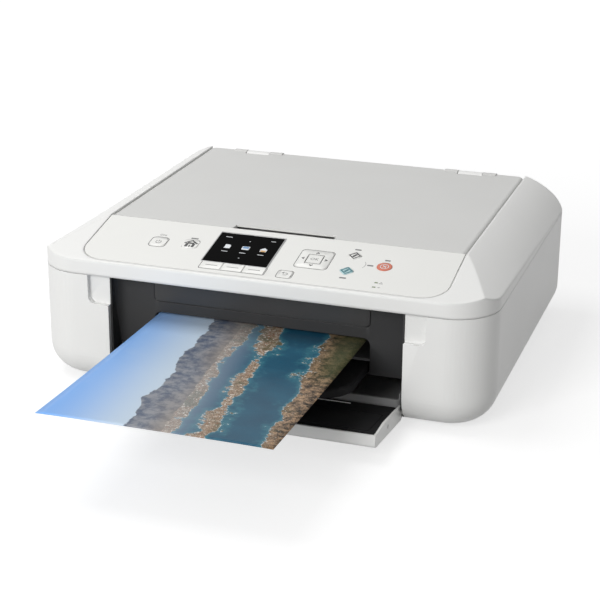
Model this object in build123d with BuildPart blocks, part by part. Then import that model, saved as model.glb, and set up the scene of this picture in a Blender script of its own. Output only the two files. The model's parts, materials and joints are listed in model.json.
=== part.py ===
"""Multifunction inkjet printer: lower casing, print engine, scanner unit, document cover, paper tray and flap.

Millimetres, +X to the right seen from the front, +Y to the rear, +Z up, z = 0 on the desk.
The model is drawn about the middle of the printer's footprint and moved by frame_shift when it is written,
so that the written origin is the middle of the whole part's base, printed sheet included.
"""

from build123d import *
import math
import os

# Driving dimensions of the printer as a whole
width = 455.0
front_y = -182.0
rear_y = 185.0
foot_height = 2.5
seam_z = 115.0
seam_gap = 0.4
cover_top = 148.0
wall = 3.0
running_gap = 0.3
shaft_gap = 0.05

# Plan and edge radii
front_corner = 45.0
rear_corner = 14.0
rear_bevel_inside = 6.0
under_radius = 31.0

# Shoulders of the scanner housing, highest along the cover and falling to the side crease
shoulder_x = 184.0
crease_front = 128.4
crease_rear = 116.6
shoulder_bulge_front = 0.8
shoulder_bulge_rear = 4.6
panel_back = -92.0
panel_drop = 0.2

# Front opening and the recesses for the fingers
opening_half = 147.0
sill_z = 4.5
scoop_width = 21.0
scoop_low = 86.0
scoop_depth = 5.5
fascia_y = -158.0
fascia_thick = 3.0
liner_thick = 1.6
slot_half = 109.0
slot_top = 77.0
bay_top = 41.0
badge_low = 88.5
badge_high = 112.0
badge_half = 108.4
badge_gap = 0.9

# Output flap
flap_axis_y = -172.0
flap_axis_z = 13.8
flap_face = 8.8
flap_half = 144.2
flap_length = 85.6
flap_open = 83.4
flap_wall = 2.5
flap_pin_radius = 1.5

# Output tray and the printed sheet
tray_half = 106.5
tray_low = 42.0
tray_thick = 8.0
tray_front = -228.0
tray_length = 170.0
tray_corner = 30.0
tray_travel = 70.0
sheet_width = 210.0
sheet_length = 297.0
sheet_thick = 0.3
sheet_z = 74.6
sheet_back = -119.0
sheet_rise = 6.0

# Paper tray in the floor of the casing
paper_half = 141.0
paper_front = -163.0
paper_rear = 142.0
paper_low = 5.6
paper_high = 26.0
paper_wall = 2.2
guide_height = 13.0

# Scanner unit
housing_floor = 3.0
recess_half = 182.9
bed_z = 131.5
bed_thick = 3.0
glass_long = 302.0
glass_short = 222.0
glass_ledge = 4.0
scan_bar_width = 22.0
scan_travel = 262.0
scanner_axis_y = 174.0
scanner_axis_z = 120.5
scanner_pin_radius = 3.0
scanner_open = 38.0

# Document cover
cover_half = 181.6
cover_low = 136.0
cover_rear = 184.0
cover_wall = 2.5
cover_axis_y = 179.0
cover_axis_z = 141.5
knuckle_radius = 8.0
cover_pin_radius = 2.5
knuckle_x = 123.5
knuckle_span = 57.0
lug_span = 27.0
grip_half = 52.0
grip_depth = 10.0

# Control panel
panel_thick = 2.5
panel_front = -176.5
panel_half = 181.6
panel_gap = 1.0
window_front = -174.0
window_back = -98.0
panel_corner = 25.0
panel_seat = 2.0
key_gap = 0.25
ok_gap = 0.5
flange_reach = 1.2
key_proud = 0.5
key_flange = 1.2
key_travel = 0.6

# Print engine
engine_floor = 53.0
deck_low = 109.0
roller_shaft_radius = 3.0
feed_y = -22.0
feed_radius = 7.0
eject_y = -135.0
eject_radius = 4.7
star_radius = 3.5
star_teeth = 8
star_shaft_radius = 1.2
pinch_shaft_radius = 1.5
star_notch = 1.0
ring_places = (-72.0, 0.0, 72.0)
pinch_radius = 4.0
bearing_x = 114.0
pulley_x = 121.0
feed_wheel = 7.2
eject_wheel = 4.74
side_frame_x = 209.0
side_frame_thick = 1.6
frame_step = 20.5
rail_y = -12.0
rail_top = 106.0
rail_low = 84.0
rail_thick = 1.6
belt_z = 96.0
belt_radius = 6.0
belt_thick = 1.0
belt_y = -27.0
belt_width = 5.0
belt_x = 190.0
carriage_half = 48.0
carriage_park = 150.0
carriage_travel = 300.0
carriage_front = -112.0
carriage_back = -32.0
carriage_low = 77.5
carriage_high = 100.0
hook_half = 30.0
tank_widths = (15.0, 15.0, 15.0, 15.0, 23.0)
tank_gap = 1.0

half_width = width / 2
casing_low = foot_height
floor_top = casing_low + wall + 0.1
sheet_front = sheet_back - sheet_length
rearmost = cover_axis_y + knuckle_radius
frame_shift = -(sheet_front + rearmost) / 2
slope_angle = math.degrees(math.atan(panel_drop))


def block(x, y, z, mode=Mode.ADD):
    """A block between three (low, high) pairs."""
    with Locations(((x[0] + x[1]) / 2, (y[0] + y[1]) / 2, (z[0] + z[1]) / 2)):
        Box(x[1] - x[0], y[1] - y[0], z[1] - z[0], mode=mode)


def bar_x(x, y, z, radius, mode=Mode.ADD):
    """A round bar along X between a (low, high) pair of x."""
    with Locations(Location(((x[0] + x[1]) / 2, y, z), (0, 90, 0))):
        Cylinder(radius, x[1] - x[0], mode=mode)


def bar_y(x, y, z, radius, mode=Mode.ADD):
    """A round bar along Y between a (low, high) pair of y."""
    with Locations(Location((x, (y[0] + y[1]) / 2, z), (90, 0, 0))):
        Cylinder(radius, y[1] - y[0], mode=mode)


def plan(inset):
    """Plan outline of the casing, moved inwards by inset: large front corners, square rear corners."""
    side = half_width - inset
    low, high = front_y + inset, rear_y - inset
    radius = front_corner - inset
    with BuildSketch() as outline:
        with Locations((0, (low + high) / 2)):
            Rectangle(2 * side, high - low)
        fillet(outline.vertices().group_by(Axis.Y)[0], radius)
    return outline.sketch


def tub(inset, top):
    """Lower casing's outer form with a rolled under edge, or its hollow at an inset, bevelled instead."""
    with BuildPart(mode=Mode.PRIVATE) as form:
        add(Pos(0, 0, casing_low + inset) * plan(inset))
        extrude(amount=top - casing_low - inset)
        under = form.edges().group_by(Axis.Z)[0].sort_by(Axis.Y)[:-1]
        if inset:
            chamfer(under, under_radius - inset)
        else:
            fillet(under, under_radius)
        back = form.faces().sort_by(Axis.Y)[-1]
        rim = [e for e in back.edges() if e.center().Z < top - 0.01]
        if inset:
            chamfer(rim, rear_bevel_inside)
        else:
            fillet(rim, rear_corner)
    return form.part


def crown(inset):
    """Upper form between the seam and the cover's level: shoulders that fall outwards and to the rear.

    The outer form's shoulders bulge, and a hollow's are plain slopes.
    """

    def shoulder(start, middle, end):
        if inset:
            Line(start, end)
        else:
            ThreePointArc(start, middle, end)

    def section(y, crease, bulge):
        side, low = half_width - inset, seam_z - 20
        top, turn = cover_top - inset, shoulder_x - inset * 0.4
        middle_x, middle_z = (side + turn) / 2, (crease - inset * 0.9 + top) / 2
        drop, run = top - crease + inset * 0.9, side - turn
        length = math.hypot(drop, run)
        bulge_x, bulge_z = bulge * drop / length, bulge * run / length
        with BuildSketch(Plane.XZ.offset(-y)) as face:
            with BuildLine():
                Line((-side, low), (side, low))
                Line((side, low), (side, crease - inset * 0.9))
                shoulder((side, crease - inset * 0.9), (middle_x + bulge_x, middle_z + bulge_z), (turn, top))
                Line((turn, top), (-turn, top))
                shoulder((-turn, top), (-middle_x - bulge_x, middle_z + bulge_z), (-side, crease - inset * 0.9))
                Line((-side, crease - inset * 0.9), (-side, low))
            make_face()
        return face.sketch

    with BuildPart(mode=Mode.PRIVATE) as column:
        add(Pos(0, 0, seam_z - 25) * plan(inset))
        extrude(amount=cover_top - seam_z + 30)
        uprights = column.edges().filter_by(Axis.Z).group_by(Axis.Y)[-1]
        fillet(uprights, rear_corner - inset)
    with BuildPart(mode=Mode.PRIVATE) as form:
        loft([
            section(front_y - 1, crease_front, shoulder_bulge_front),
            section(rear_y + 1, crease_rear, shoulder_bulge_rear),
        ], ruled=True)
        add(column.part, mode=Mode.INTERSECT)
        # the control panel's slope takes the front top off
        top_at_back = cover_top - inset
        with BuildSketch(Plane.YZ.offset(-half_width - 5)) as wedge:
            with BuildLine():
                Polyline(
                    (panel_back, top_at_back),
                    (front_y - 20, top_at_back + panel_drop * (front_y - 20 - panel_back)),
                    (front_y - 20, cover_top + 30),
                    (panel_back, cover_top + 30),
                    close=True,
                )
            make_face()
        extrude(wedge.sketch, amount=width + 10, mode=Mode.SUBTRACT)
        block((-width, width), (-width, width), (seam_z - 30, seam_z + seam_gap + inset), mode=Mode.SUBTRACT)
    return form.part


# Lower casing: an open tub whose front is cut away between two hollow columns
wall_x = opening_half + wall
with BuildPart() as lower_casing:
    add(tub(0, seam_z))
    add(tub(wall, seam_z + 5), mode=Mode.SUBTRACT)
    for side in (-1, 1):
        inner = sorted((side * opening_half, side * wall_x))
        block(inner, (front_y + wall / 2, fascia_y + fascia_thick), (casing_low + wall / 2, seam_z))
        block(inner, (fascia_y, 130), (casing_low + wall / 2, engine_floor))
        # ledges under the inner deck
        block(sorted((side * 217, side * (half_width - wall / 2))), (50, 90), (deck_low - 3, deck_low))
        pad = sorted((side * (wall_x - 0.5), side * (opening_half + scoop_width + wall)))
        block(pad, (front_y + wall / 2, front_y + scoop_depth + wall), (scoop_low - wall, seam_z))
    block((-25, 25), (rear_y - wall - 6, rear_y - wall / 2), (deck_low - 3, deck_low))
    add(tub(0, seam_z), mode=Mode.INTERSECT)
    block((-opening_half, opening_half), (front_y - 5, front_y + 31), (sill_z, seam_z + 5), mode=Mode.SUBTRACT)
    for side in (-1, 1):
        with BuildSketch(Plane.XZ.offset(-front_y + 5)) as scoop:
            with Locations((side * opening_half, (scoop_low + seam_z + 30) / 2)):
                RectangleRounded(2 * scoop_width, seam_z + 30 - scoop_low, 7)
        extrude(scoop.sketch, amount=-5 - scoop_depth, mode=Mode.SUBTRACT)
        bar_x(
            sorted((side * (opening_half - 1), side * (wall_x + 1))),
            flap_axis_y, flap_axis_z, flap_pin_radius + shaft_gap, mode=Mode.SUBTRACT,
        )
    # rear openings for the inlet and the data port
    inlet_x, inlet_z, port_x, port_z = -186.0, 42.0, 178.0, 46.0
    block((inlet_x - 14, inlet_x + 14), (rear_y - wall - 1, rear_y + 1), (inlet_z - 10, inlet_z + 10),
          mode=Mode.SUBTRACT)
    block((port_x - 8, port_x + 8), (rear_y - wall - 1, rear_y + 1), (port_z - 7, port_z + 7), mode=Mode.SUBTRACT)

# Four rubber feet under the flat of the tub
with BuildPart() as feet:
    for x in (-178, 178):
        for y in (front_y + 56, rear_y - 45):
            with Locations((x, y, foot_height / 2)):
                Cylinder(8, foot_height)

# Black fascia: an arch over the output slot, with side walls forward to the column edges and a badge pocket
fascia_half = opening_half - 0.3
with BuildPart() as front_fascia:
    with BuildSketch(Plane.XZ.offset(-fascia_y)) as arch:
        with Locations((0, (bay_top + seam_z - 1) / 2)):
            Rectangle(2 * fascia_half, seam_z - 1 - bay_top)
        with Locations((0, (bay_top - 20 + slot_top) / 2)):
            RectangleRounded(2 * slot_half, slot_top - bay_top + 20, 7, mode=Mode.SUBTRACT)
    extrude(arch.sketch, amount=-fascia_thick)
    for side in (-1, 1):
        skin = sorted((side * (fascia_half - liner_thick), side * fascia_half))
        block(skin, (front_y + 5, fascia_y), (flap_axis_z + 4, seam_z - 1))
        rail = sorted((side * slot_half, side * (slot_half + 2)))
        block(rail, (fascia_y + fascia_thick, -20), (bay_top - 1.5, engine_floor - running_gap))
        ledge = sorted((side * (slot_half - 5), side * (slot_half + 2)))
        block(ledge, (fascia_y + fascia_thick, -20), (bay_top - 1.5, tray_low - running_gap))
    with BuildSketch(Plane.XZ.offset(-fascia_y)) as pocket:
        with Locations((0, (badge_low + badge_high) / 2)):
            RectangleRounded(2 * (badge_half + badge_gap), badge_high - badge_low + 2 * badge_gap, 5)
    extrude(pocket.sketch, amount=-1.2, mode=Mode.SUBTRACT)

# Bare badge panel in the pocket
with BuildPart() as badge_panel:
    with BuildSketch(Plane.XZ.offset(-fascia_y - 1.2)) as plate:
        with Locations((0, (badge_low + badge_high) / 2)):
            RectangleRounded(2 * badge_half, badge_high - badge_low, 4.2)
    extrude(plate.sketch, amount=1.6)
    chamfer(badge_panel.faces().sort_by(Axis.Y)[0].edges(), 0.4)

# Flap, drawn closed (upright) and turned open about its pins
flap_face_y = flap_axis_y - flap_face
flap_top = flap_axis_z + flap_length
flap_swing = Location((0, flap_axis_y, flap_axis_z)) * Location((0, 0, 0), (flap_open, 0, 0)) * Location(
    (0, -flap_axis_y, -flap_axis_z)
)
cheek_mid, cheek_tip, cheek_heel = 15.0, 11.8, 2 * flap_face - 1.5
with BuildPart() as flap_closed:
    # the cheek's outline is the whole flap's end view
    with BuildSketch(Plane.YZ.offset(-flap_half)) as cheek:
        with BuildLine():
            Line((flap_face_y, flap_axis_z), (flap_face_y, flap_top - 3))
            RadiusArc((flap_face_y, flap_top - 3), (flap_face_y + 3, flap_top), 3)
            Line((flap_face_y + 3, flap_top), (flap_face_y + cheek_tip, flap_top))
            Line((flap_face_y + cheek_tip, flap_top), (flap_face_y + cheek_tip, flap_top - 8))
            Line((flap_face_y + cheek_tip, flap_top - 8), (flap_face_y + cheek_mid, flap_top - 30))
            Line((flap_face_y + cheek_mid, flap_top - 30), (flap_face_y + cheek_mid, flap_axis_z + 22))
            Line((flap_face_y + cheek_mid, flap_axis_z + 22), (flap_axis_y + flap_face - 3, flap_axis_z))
            ThreePointArc(
                (flap_axis_y + flap_face - 3, flap_axis_z),
                (flap_axis_y - 1, flap_axis_z - flap_face + 1),
                (flap_face_y, flap_axis_z),
            )
        make_face()
    extrude(cheek.sketch, amount=2 * flap_half)
    # hollow it from the inner face, leaving the skin, the cheeks and the top lip
    block((-flap_half + flap_wall, flap_half - flap_wall), (flap_face_y + flap_wall, flap_face_y + 40),
          (flap_axis_z - 20, flap_top - flap_wall), mode=Mode.SUBTRACT)
    for x in (-80.0, 80.0):
        block((x - 16, x + 16), (flap_face_y + flap_wall - 0.5, flap_face_y + 11.4),
              (flap_axis_z + 1.4, flap_axis_z + 3.6))
    for side in (-1, 1):
        bar_x(sorted((side * (flap_half - 0.5), side * (opening_half + 2))), flap_axis_y, flap_axis_z,
              flap_pin_radius)
        bar_x(sorted((side * (flap_half - 5), side * (flap_half + 1))), flap_face_y + 8, flap_axis_z + 44,
              2.0, mode=Mode.SUBTRACT)

# Black inner panel of the flap: a pan with a raised border, a shallow well near the lip and two slots
panel_skin = flap_face_y + 9.0
with BuildPart() as inner_closed:
    pan_half = flap_half - flap_wall - 0.1
    block((-pan_half, pan_half), (panel_skin, panel_skin + 2.2), (flap_axis_z - 3, flap_top - flap_wall - 0.1))
    block((-pan_half, pan_half), (flap_face_y + flap_wall, panel_skin + 0.5),
          (flap_top - flap_wall - 2.1, flap_top - flap_wall - 0.1))
    for side in (-1, 1):
        rib = sorted((side * (pan_half - 2), side * pan_half))
        block(rib, (flap_face_y + flap_wall, panel_skin + 0.5), (flap_axis_z + 8, flap_top - flap_wall - 0.1))
    with BuildSketch(Plane.XZ.offset(-panel_skin - 2.2)) as border:
        with Locations((0, flap_axis_z + 48)):
            RectangleRounded(2 * pan_half - 14, 52, 5)
            RectangleRounded(2 * pan_half - 17, 49, 4, mode=Mode.SUBTRACT)
    extrude(border.sketch, amount=0.7, mode=Mode.SUBTRACT)
    with BuildSketch(Plane.XZ.offset(-panel_skin - 2.2)) as well:
        with Locations((flap_half - 59, flap_top - 10.5), (59 - flap_half, flap_top - 10.5)):
            Rectangle(60, 9)
    extrude(well.sketch, amount=1.2, mode=Mode.SUBTRACT)
    for x in (-80.0, 80.0):
        block((x - 16.3, x + 16.3), (panel_skin - 5, panel_skin + 6), (flap_axis_z + 1.1, flap_axis_z + 3.9),
              mode=Mode.SUBTRACT)

# Output tray: a thin pan with rounded front corners and a turned-down lip
with BuildPart() as output_tray:
    with BuildSketch(Plane.XY.offset(tray_low)) as outline:
        with Locations((0, tray_front + tray_length / 2)):
            Rectangle(2 * tray_half, tray_length)
        fillet(outline.vertices().group_by(Axis.Y)[0], tray_corner)
    extrude(outline.sketch, amount=tray_thick)
    chamfer(output_tray.faces().sort_by(Axis.Z)[-1].edges().group_by(Axis.Y)[0], 2)
    with BuildSketch(Plane.XY.offset(tray_low)) as hollow:
        with Locations((0, tray_front + tray_length / 2 + 1)):
            Rectangle(2 * tray_half - 10, tray_length - 12)
        fillet(hollow.vertices().group_by(Axis.Y)[0], tray_corner - 5)
    extrude(hollow.sketch, amount=tray_thick - 2.2, mode=Mode.SUBTRACT)
    for x in (-60, -20, 20, 60):
        block((x - 1, x + 1), (tray_front + 6, tray_front + tray_length - 8), (tray_low + 2, tray_low + 7))

# Printed sheet, held between the eject roller and the star wheels, bowed a little upwards to its front edge
with BuildPart() as printed_sheet:
    with BuildSketch(Plane.YZ.offset(-sheet_width / 2)) as edge:
        bend_y = fascia_y - 8
        with BuildLine():
            Line((sheet_back, sheet_z), (bend_y, sheet_z))
            ThreePointArc(
                (bend_y, sheet_z),
                ((bend_y + sheet_front) / 2, sheet_z + sheet_rise * 0.32),
                (sheet_front, sheet_z + sheet_rise),
            )
            Line((sheet_front, sheet_z + sheet_rise), (sheet_front, sheet_z + sheet_rise + sheet_thick))
            ThreePointArc(
                (sheet_front, sheet_z + sheet_rise + sheet_thick),
                ((bend_y + sheet_front) / 2, sheet_z + sheet_rise * 0.32 + sheet_thick),
                (bend_y, sheet_z + sheet_thick),
            )
            Line((bend_y, sheet_z + sheet_thick), (sheet_back, sheet_z + sheet_thick))
            Line((sheet_back, sheet_z + sheet_thick), (sheet_back, sheet_z))
        make_face()
    extrude(edge.sketch, amount=sheet_width)

# Paper tray: an open pan with a low front wall, fixed in the floor of the casing
with BuildPart() as paper_tray:
    with BuildSketch(Plane.XY.offset(paper_low)) as outline:
        with Locations((0, (paper_front + paper_rear) / 2)):
            RectangleRounded(2 * paper_half, paper_rear - paper_front, 6)
    extrude(outline.sketch, amount=paper_high - paper_low)
    inside_low = paper_low + paper_wall
    with BuildSketch(Plane.XY.offset(inside_low)) as hollow:
        with Locations((0, (paper_front + paper_rear) / 2)):
            Rectangle(2 * (paper_half - paper_wall), paper_rear - paper_front - 2 * paper_wall)
    extrude(hollow.sketch, amount=paper_high, mode=Mode.SUBTRACT)
    block((-paper_half - 1, paper_half + 1), (paper_front - 1, paper_front + paper_wall + 0.5),
          (paper_high - 5, paper_high + 1), mode=Mode.SUBTRACT)
    with BuildSketch(Plane.XY.offset(paper_low)) as grooves:
        with GridLocations(0, 120, 1, 2):
            Rectangle(2 * paper_half - 40, 3)
    extrude(grooves.sketch, amount=paper_wall, mode=Mode.SUBTRACT)

# Paper guides in the paper tray: two side walls that move together, and the end wall
guide_half = sheet_width / 2 + 0.6
side_guides = {}
for side, name in ((-1, "left_paper_guide"), (1, "right_paper_guide")):
    with BuildPart() as guide:
        wall_span = sorted((side * guide_half, side * (guide_half + 2)))
        foot_span = sorted((side * guide_half, side * (guide_half + 24)))
        block(wall_span, (-62, 62), (inside_low + 0.2, inside_low + guide_height))
        block(foot_span, (-30, 30), (inside_low + 0.2, inside_low + 2))
        for y in (-24, 0, 24):
            with BuildSketch(Plane.XZ.offset(-y - 0.8)) as web:
                with BuildLine():
                    start = side * (guide_half + 1.8)
                    Polyline(
                        (start, inside_low + 1.5), (start + side * 14, inside_low + 1.5),
                        (start, inside_low + guide_height - 1), close=True,
                    )
                make_face()
            extrude(web.sketch, amount=1.6)
        guide.part.label = name
    side_guides[name] = guide.part
with BuildPart() as end_guide:
    block((-34, 34), (paper_rear - 9, paper_rear - 7), (inside_low + 0.2, inside_low + guide_height))
    block((-12, 12), (paper_rear - 34, paper_rear - 7), (inside_low + 0.2, inside_low + 2))
    fillet(end_guide.edges().filter_by(Axis.Y).group_by(Axis.Z)[-1], 5)

# Engine base: platen ribs, bearing ribs for the rollers and a floor over the output tray
tray_roof = engine_floor + 2.5
with BuildPart() as engine_base:
    block((-wall_x + 0.5, wall_x - 0.5), (fascia_y + fascia_thick + 0.2, 12), (engine_floor, tray_roof))
    for side in (-1, 1):
        rib = sorted((side * (bearing_x - 1.2), side * (bearing_x + 1.2)))
        with BuildSketch(Plane.YZ.offset(rib[0])) as cheek:
            with BuildLine():
                Polyline(
                    (eject_y - 9, tray_roof - 1), (eject_y - 9, 84), (eject_y + 7, 84), (eject_y + 20, 70),
                    (feed_y - 9, 70), (feed_y - 7.5, 84), (feed_y + 9, 84), (feed_y + 20, tray_roof - 1),
                    close=True,
                )
            make_face()
        extrude(cheek.sketch, amount=2.4)
    # platen block with ribs along the paper's way
    block((-bearing_x + 1, bearing_x - 1), (-112, -48), (tray_roof - 1, 70))
    for x in range(-96, 97, 16):
        block((x - 0.8, x + 0.8), (-112, -48), (69, sheet_z - 0.6))
    for y, z, radius in (
        (feed_y, sheet_z - feed_radius - 0.1, roller_shaft_radius),
        (eject_y, sheet_z - running_gap - eject_radius, roller_shaft_radius - 0.5),
    ):
        bar_x((-bearing_x - 3, bearing_x + 3), y, z, radius + shaft_gap, mode=Mode.SUBTRACT)
    # open slots, so that the upper shafts can rise with thick paper
    for y, z, radius in (
        (feed_y, sheet_z + pinch_radius + 0.6, pinch_shaft_radius),
        (eject_y, sheet_z + star_radius + 0.6, star_shaft_radius),
    ):
        reach = radius + shaft_gap
        block((-bearing_x - 3, bearing_x + 3), (y - reach, y + reach), (z - reach, 90), mode=Mode.SUBTRACT)

feed_z = sheet_z - feed_radius - 0.1
eject_z = sheet_z - running_gap - eject_radius
pinch_z = sheet_z + pinch_radius + 0.6
star_z = sheet_z + star_radius + 0.6
roller_end = bearing_x - 1.2 - running_gap
with BuildPart() as feed_roller:
    bar_x((-pulley_x - 4, pulley_x), feed_y, feed_z, roller_shaft_radius)
    bar_x((-roller_end, roller_end), feed_y, feed_z, feed_radius)
    bar_x((-pulley_x - 3.5, -pulley_x + 1.5), feed_y, feed_z, feed_wheel)
with BuildPart() as eject_roller:
    bar_x((-pulley_x - 4, pulley_x), eject_y, eject_z, roller_shaft_radius - 0.5)
    for x in ring_places:
        bar_x((x - 9, x + 9), eject_y, eject_z, eject_radius)
    bar_x((-pulley_x - 3.5, -pulley_x + 1.5), eject_y, eject_z, eject_wheel)
with BuildPart() as pinch_rollers:
    bar_x((-bearing_x - 3, bearing_x + 3), feed_y, pinch_z, pinch_shaft_radius)
    for x in (-54, 54):
        bar_x((x - 18, x + 18), feed_y, pinch_z, pinch_radius)
with BuildPart() as star_wheels:
    bar_x((-bearing_x - 3, bearing_x + 3), eject_y, star_z, star_shaft_radius)
    star_points = [
        (
            eject_y + (star_radius - star_notch * (turn % 2)) * math.cos(math.pi * turn / star_teeth),
            star_z + (star_radius - star_notch * (turn % 2)) * math.sin(math.pi * turn / star_teeth),
        )
        for turn in range(2 * star_teeth)
    ]
    for x in ring_places:
        with BuildSketch(Plane.YZ.offset(x - 0.3)) as star:
            with BuildLine():
                Polyline(*star_points, close=True)
            make_face()
        extrude(star.sketch, amount=0.6)

# Drive belt from the feed roller's pulley to the eject roller's, as a plain flat loop
with BuildPart() as drive_belt:
    run = math.hypot(feed_y - eject_y, feed_z - eject_z)
    tilt = math.atan2(feed_z - eject_z, feed_y - eject_y)
    spread = math.asin((feed_wheel - eject_wheel) / run)

    def loop(extra):
        """The belt's side view: both wheels' rims joined by their outer tangents."""
        points = []
        for centre, wheel in (((feed_y, feed_z), feed_wheel), ((eject_y, eject_z), eject_wheel)):
            for turn in (1, -1):
                angle = tilt + turn * (math.pi / 2 + spread)
                points.append((
                    centre[0] + (wheel + extra) * math.cos(angle), centre[1] + (wheel + extra) * math.sin(angle),
                ))
        with BuildSketch(Plane.YZ.offset(-pulley_x - 3)) as outline:
            with BuildLine():
                Line(points[0], points[2])
                ThreePointArc(
                    points[2],
                    (eject_y - (eject_wheel + extra) * math.cos(tilt),
                     eject_z - (eject_wheel + extra) * math.sin(tilt)),
                    points[3],
                )
                Line(points[3], points[1])
                ThreePointArc(
                    points[1],
                    (feed_y + (feed_wheel + extra) * math.cos(tilt),
                     feed_z + (feed_wheel + extra) * math.sin(tilt)),
                    points[0],
                )
            make_face()
        return outline.sketch

    extrude(loop(1.3), amount=4)
    extrude(loop(0.3), amount=4, mode=Mode.SUBTRACT)

# Sheet-metal side frames and the carriage rail between them
with BuildPart() as side_frames:
    for side in (-1, 1):
        span = sorted((side * side_frame_x, side * (side_frame_x + side_frame_thick)))
        with BuildSketch(Plane.YZ.offset(span[0])) as plate:
            with BuildLine():
                Polyline(
                    (-60, frame_step), (60, frame_step), (60, 60), (14, rail_top), (-30, rail_top),
                    (-60, 70), close=True,
                )
            make_face()
        extrude(plate.sketch, amount=side_frame_thick)
        # a step inwards and down to the flat of the floor
        step = sorted((side * (side_frame_x - 15), side * (side_frame_x + side_frame_thick)))
        block(step, (-50, 50), (frame_step, frame_step + side_frame_thick))
        leg = sorted((side * (side_frame_x - 15), side * (side_frame_x - 15 + side_frame_thick)))
        block(leg, (-50, 50), (floor_top, frame_step + side_frame_thick))
rail_span = (-side_frame_x + 0.05, side_frame_x - 0.05)
with BuildPart() as carriage_rail:
    block(rail_span, (rail_y, rail_y + rail_thick), (rail_low, rail_top))
    block(rail_span, (rail_y, rail_y + 14), (rail_top - rail_thick, rail_top))
    block(rail_span, (rail_y, rail_y + 24), (rail_low, rail_low + rail_thick))
    for x in (-120, 0, 120):
        block((x - 12, x + 12), (rail_y - 1, rail_y + rail_thick + 1), (92, 100), mode=Mode.SUBTRACT)
    for side in (-1, 1):
        bar_y(side * belt_x, (rail_y - 1, rail_y + 3), belt_z, 1.5 + shaft_gap, mode=Mode.SUBTRACT)

# Carriage belt, its two pulleys and the motor behind the rail
with BuildPart() as carriage_belt:
    with BuildSketch(Plane.XZ.offset(-belt_y + belt_width / 2)) as loop_face:
        with Locations((0, belt_z)):
            SlotCenterToCenter(2 * belt_x, 2 * (belt_radius + 0.2 + belt_thick))
            SlotCenterToCenter(2 * belt_x, 2 * (belt_radius + 0.2), mode=Mode.SUBTRACT)
    extrude(loop_face.sketch, amount=-belt_width)
pulleys = {}
for side, name in ((-1, "motor_pulley"), (1, "idler_pulley")):
    with BuildPart() as pulley:
        bar_y(side * belt_x, (belt_y - 3.2, belt_y + 3.2), belt_z, belt_radius)
        bar_y(side * belt_x, (belt_y + 3, rail_y + rail_thick), belt_z, 1.5)
        pulley.part.label = name
    pulleys[name] = pulley.part
with BuildPart() as carriage_motor:
    bar_y(-belt_x, (rail_y + rail_thick + 0.05, rail_y + 30), belt_z - 2, 8.2)
with BuildPart() as encoder_strip:
    block((-side_frame_x + 0.3, side_frame_x - 0.3), (-20.2, -19.9), (100.5, 105.5))

# Carriage with five tanks and the print head under it, parked at the right
with BuildPart() as carriage:
    body = (carriage_park - carriage_half, carriage_park + carriage_half)
    with BuildSketch(Plane.YZ.offset(body[0])) as side_view:
        with BuildLine():
            Polyline(
                (carriage_front, carriage_low), (carriage_back, carriage_low), (carriage_back, carriage_high + 4),
                (carriage_back - 6, carriage_high + 4), (carriage_front + 8, carriage_high - 4),
                (carriage_front, carriage_high - 12), close=True,
            )
        make_face()
    extrude(side_view.sketch, amount=2 * carriage_half)
    fillet(carriage.edges().filter_by(Axis.Z), 1.5)
    block((body[0] + 2, body[1] - 2), (carriage_front + 3, carriage_back - 2.5), (carriage_low + 4, 120),
          mode=Mode.SUBTRACT)
    block((body[0] + 10, body[1] - 10), (-96, -50), (carriage_low - 1, carriage_low + 5), mode=Mode.SUBTRACT)
    # arm over the rail's flange, with the hook behind it
    block((body[0] + 12, body[1] - 12), (carriage_back - 0.5, rail_y + 17), (rail_top + 0.3, rail_top + 3))
    block((carriage_park - hook_half, carriage_park + hook_half), (rail_y + 14.4, rail_y + 17), (99, rail_top + 1))
    block((body[0] + 12, body[1] - 12), (carriage_back - 2.5, carriage_back), (carriage_high, rail_top + 3))
    block((carriage_park - 6, carriage_park + 6), (carriage_back - 0.5, belt_y - belt_width / 2 - 0.1), (86, 95))
with BuildPart() as print_head:
    block((body[0] + 10.3, body[1] - 10.3), (-95.7, -50.3), (carriage_low - 0.9, carriage_low + 4))
    with BuildSketch(Plane.XY.offset(carriage_low - 0.9)) as nozzles:
        with GridLocations(12, 0, 5, 1):
            with Locations((carriage_park, -73)):
                Rectangle(2, 30)
    extrude(nozzles.sketch, amount=0.3, mode=Mode.SUBTRACT)
with BuildPart() as ink_tanks:
    left = body[0] + 2.5
    for tank_width in tank_widths:
        with BuildSketch(Plane.YZ.offset(left)) as tank:
            with BuildLine():
                Polyline(
                    (carriage_front + 4, carriage_low + 4.1), (carriage_back - 3, carriage_low + 4.1),
                    (carriage_back - 3, 108), (carriage_front + 20, 108), (carriage_front + 12, 104),
                    (carriage_front + 4, 104), close=True,
                )
            make_face()
        extrude(tank.sketch, amount=tank_width)
        left += tank_width + tank_gap

# Purge unit under the parked carriage, with rubber caps and wipers
with BuildPart() as purge_unit:
    block((120, 202), (-104, -44), (58, 70))
    block((122, 200), (-102, -46), (60, 71), mode=Mode.SUBTRACT)
    block((128, 192), (-96, -50), (58, 73))
    for y in (-98, -52):
        block((152, 190), (y - 2, y + 2), (floor_top, 60))
with BuildPart() as purge_caps:
    for x in (144, 170):
        with BuildSketch(Plane.XY.offset(73)) as cap:
            with Locations((x, -73)):
                Rectangle(22, 34)
                Rectangle(18, 30, mode=Mode.SUBTRACT)
        extrude(cap.sketch, amount=carriage_low - 0.9 - 73 - 0.2)

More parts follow.
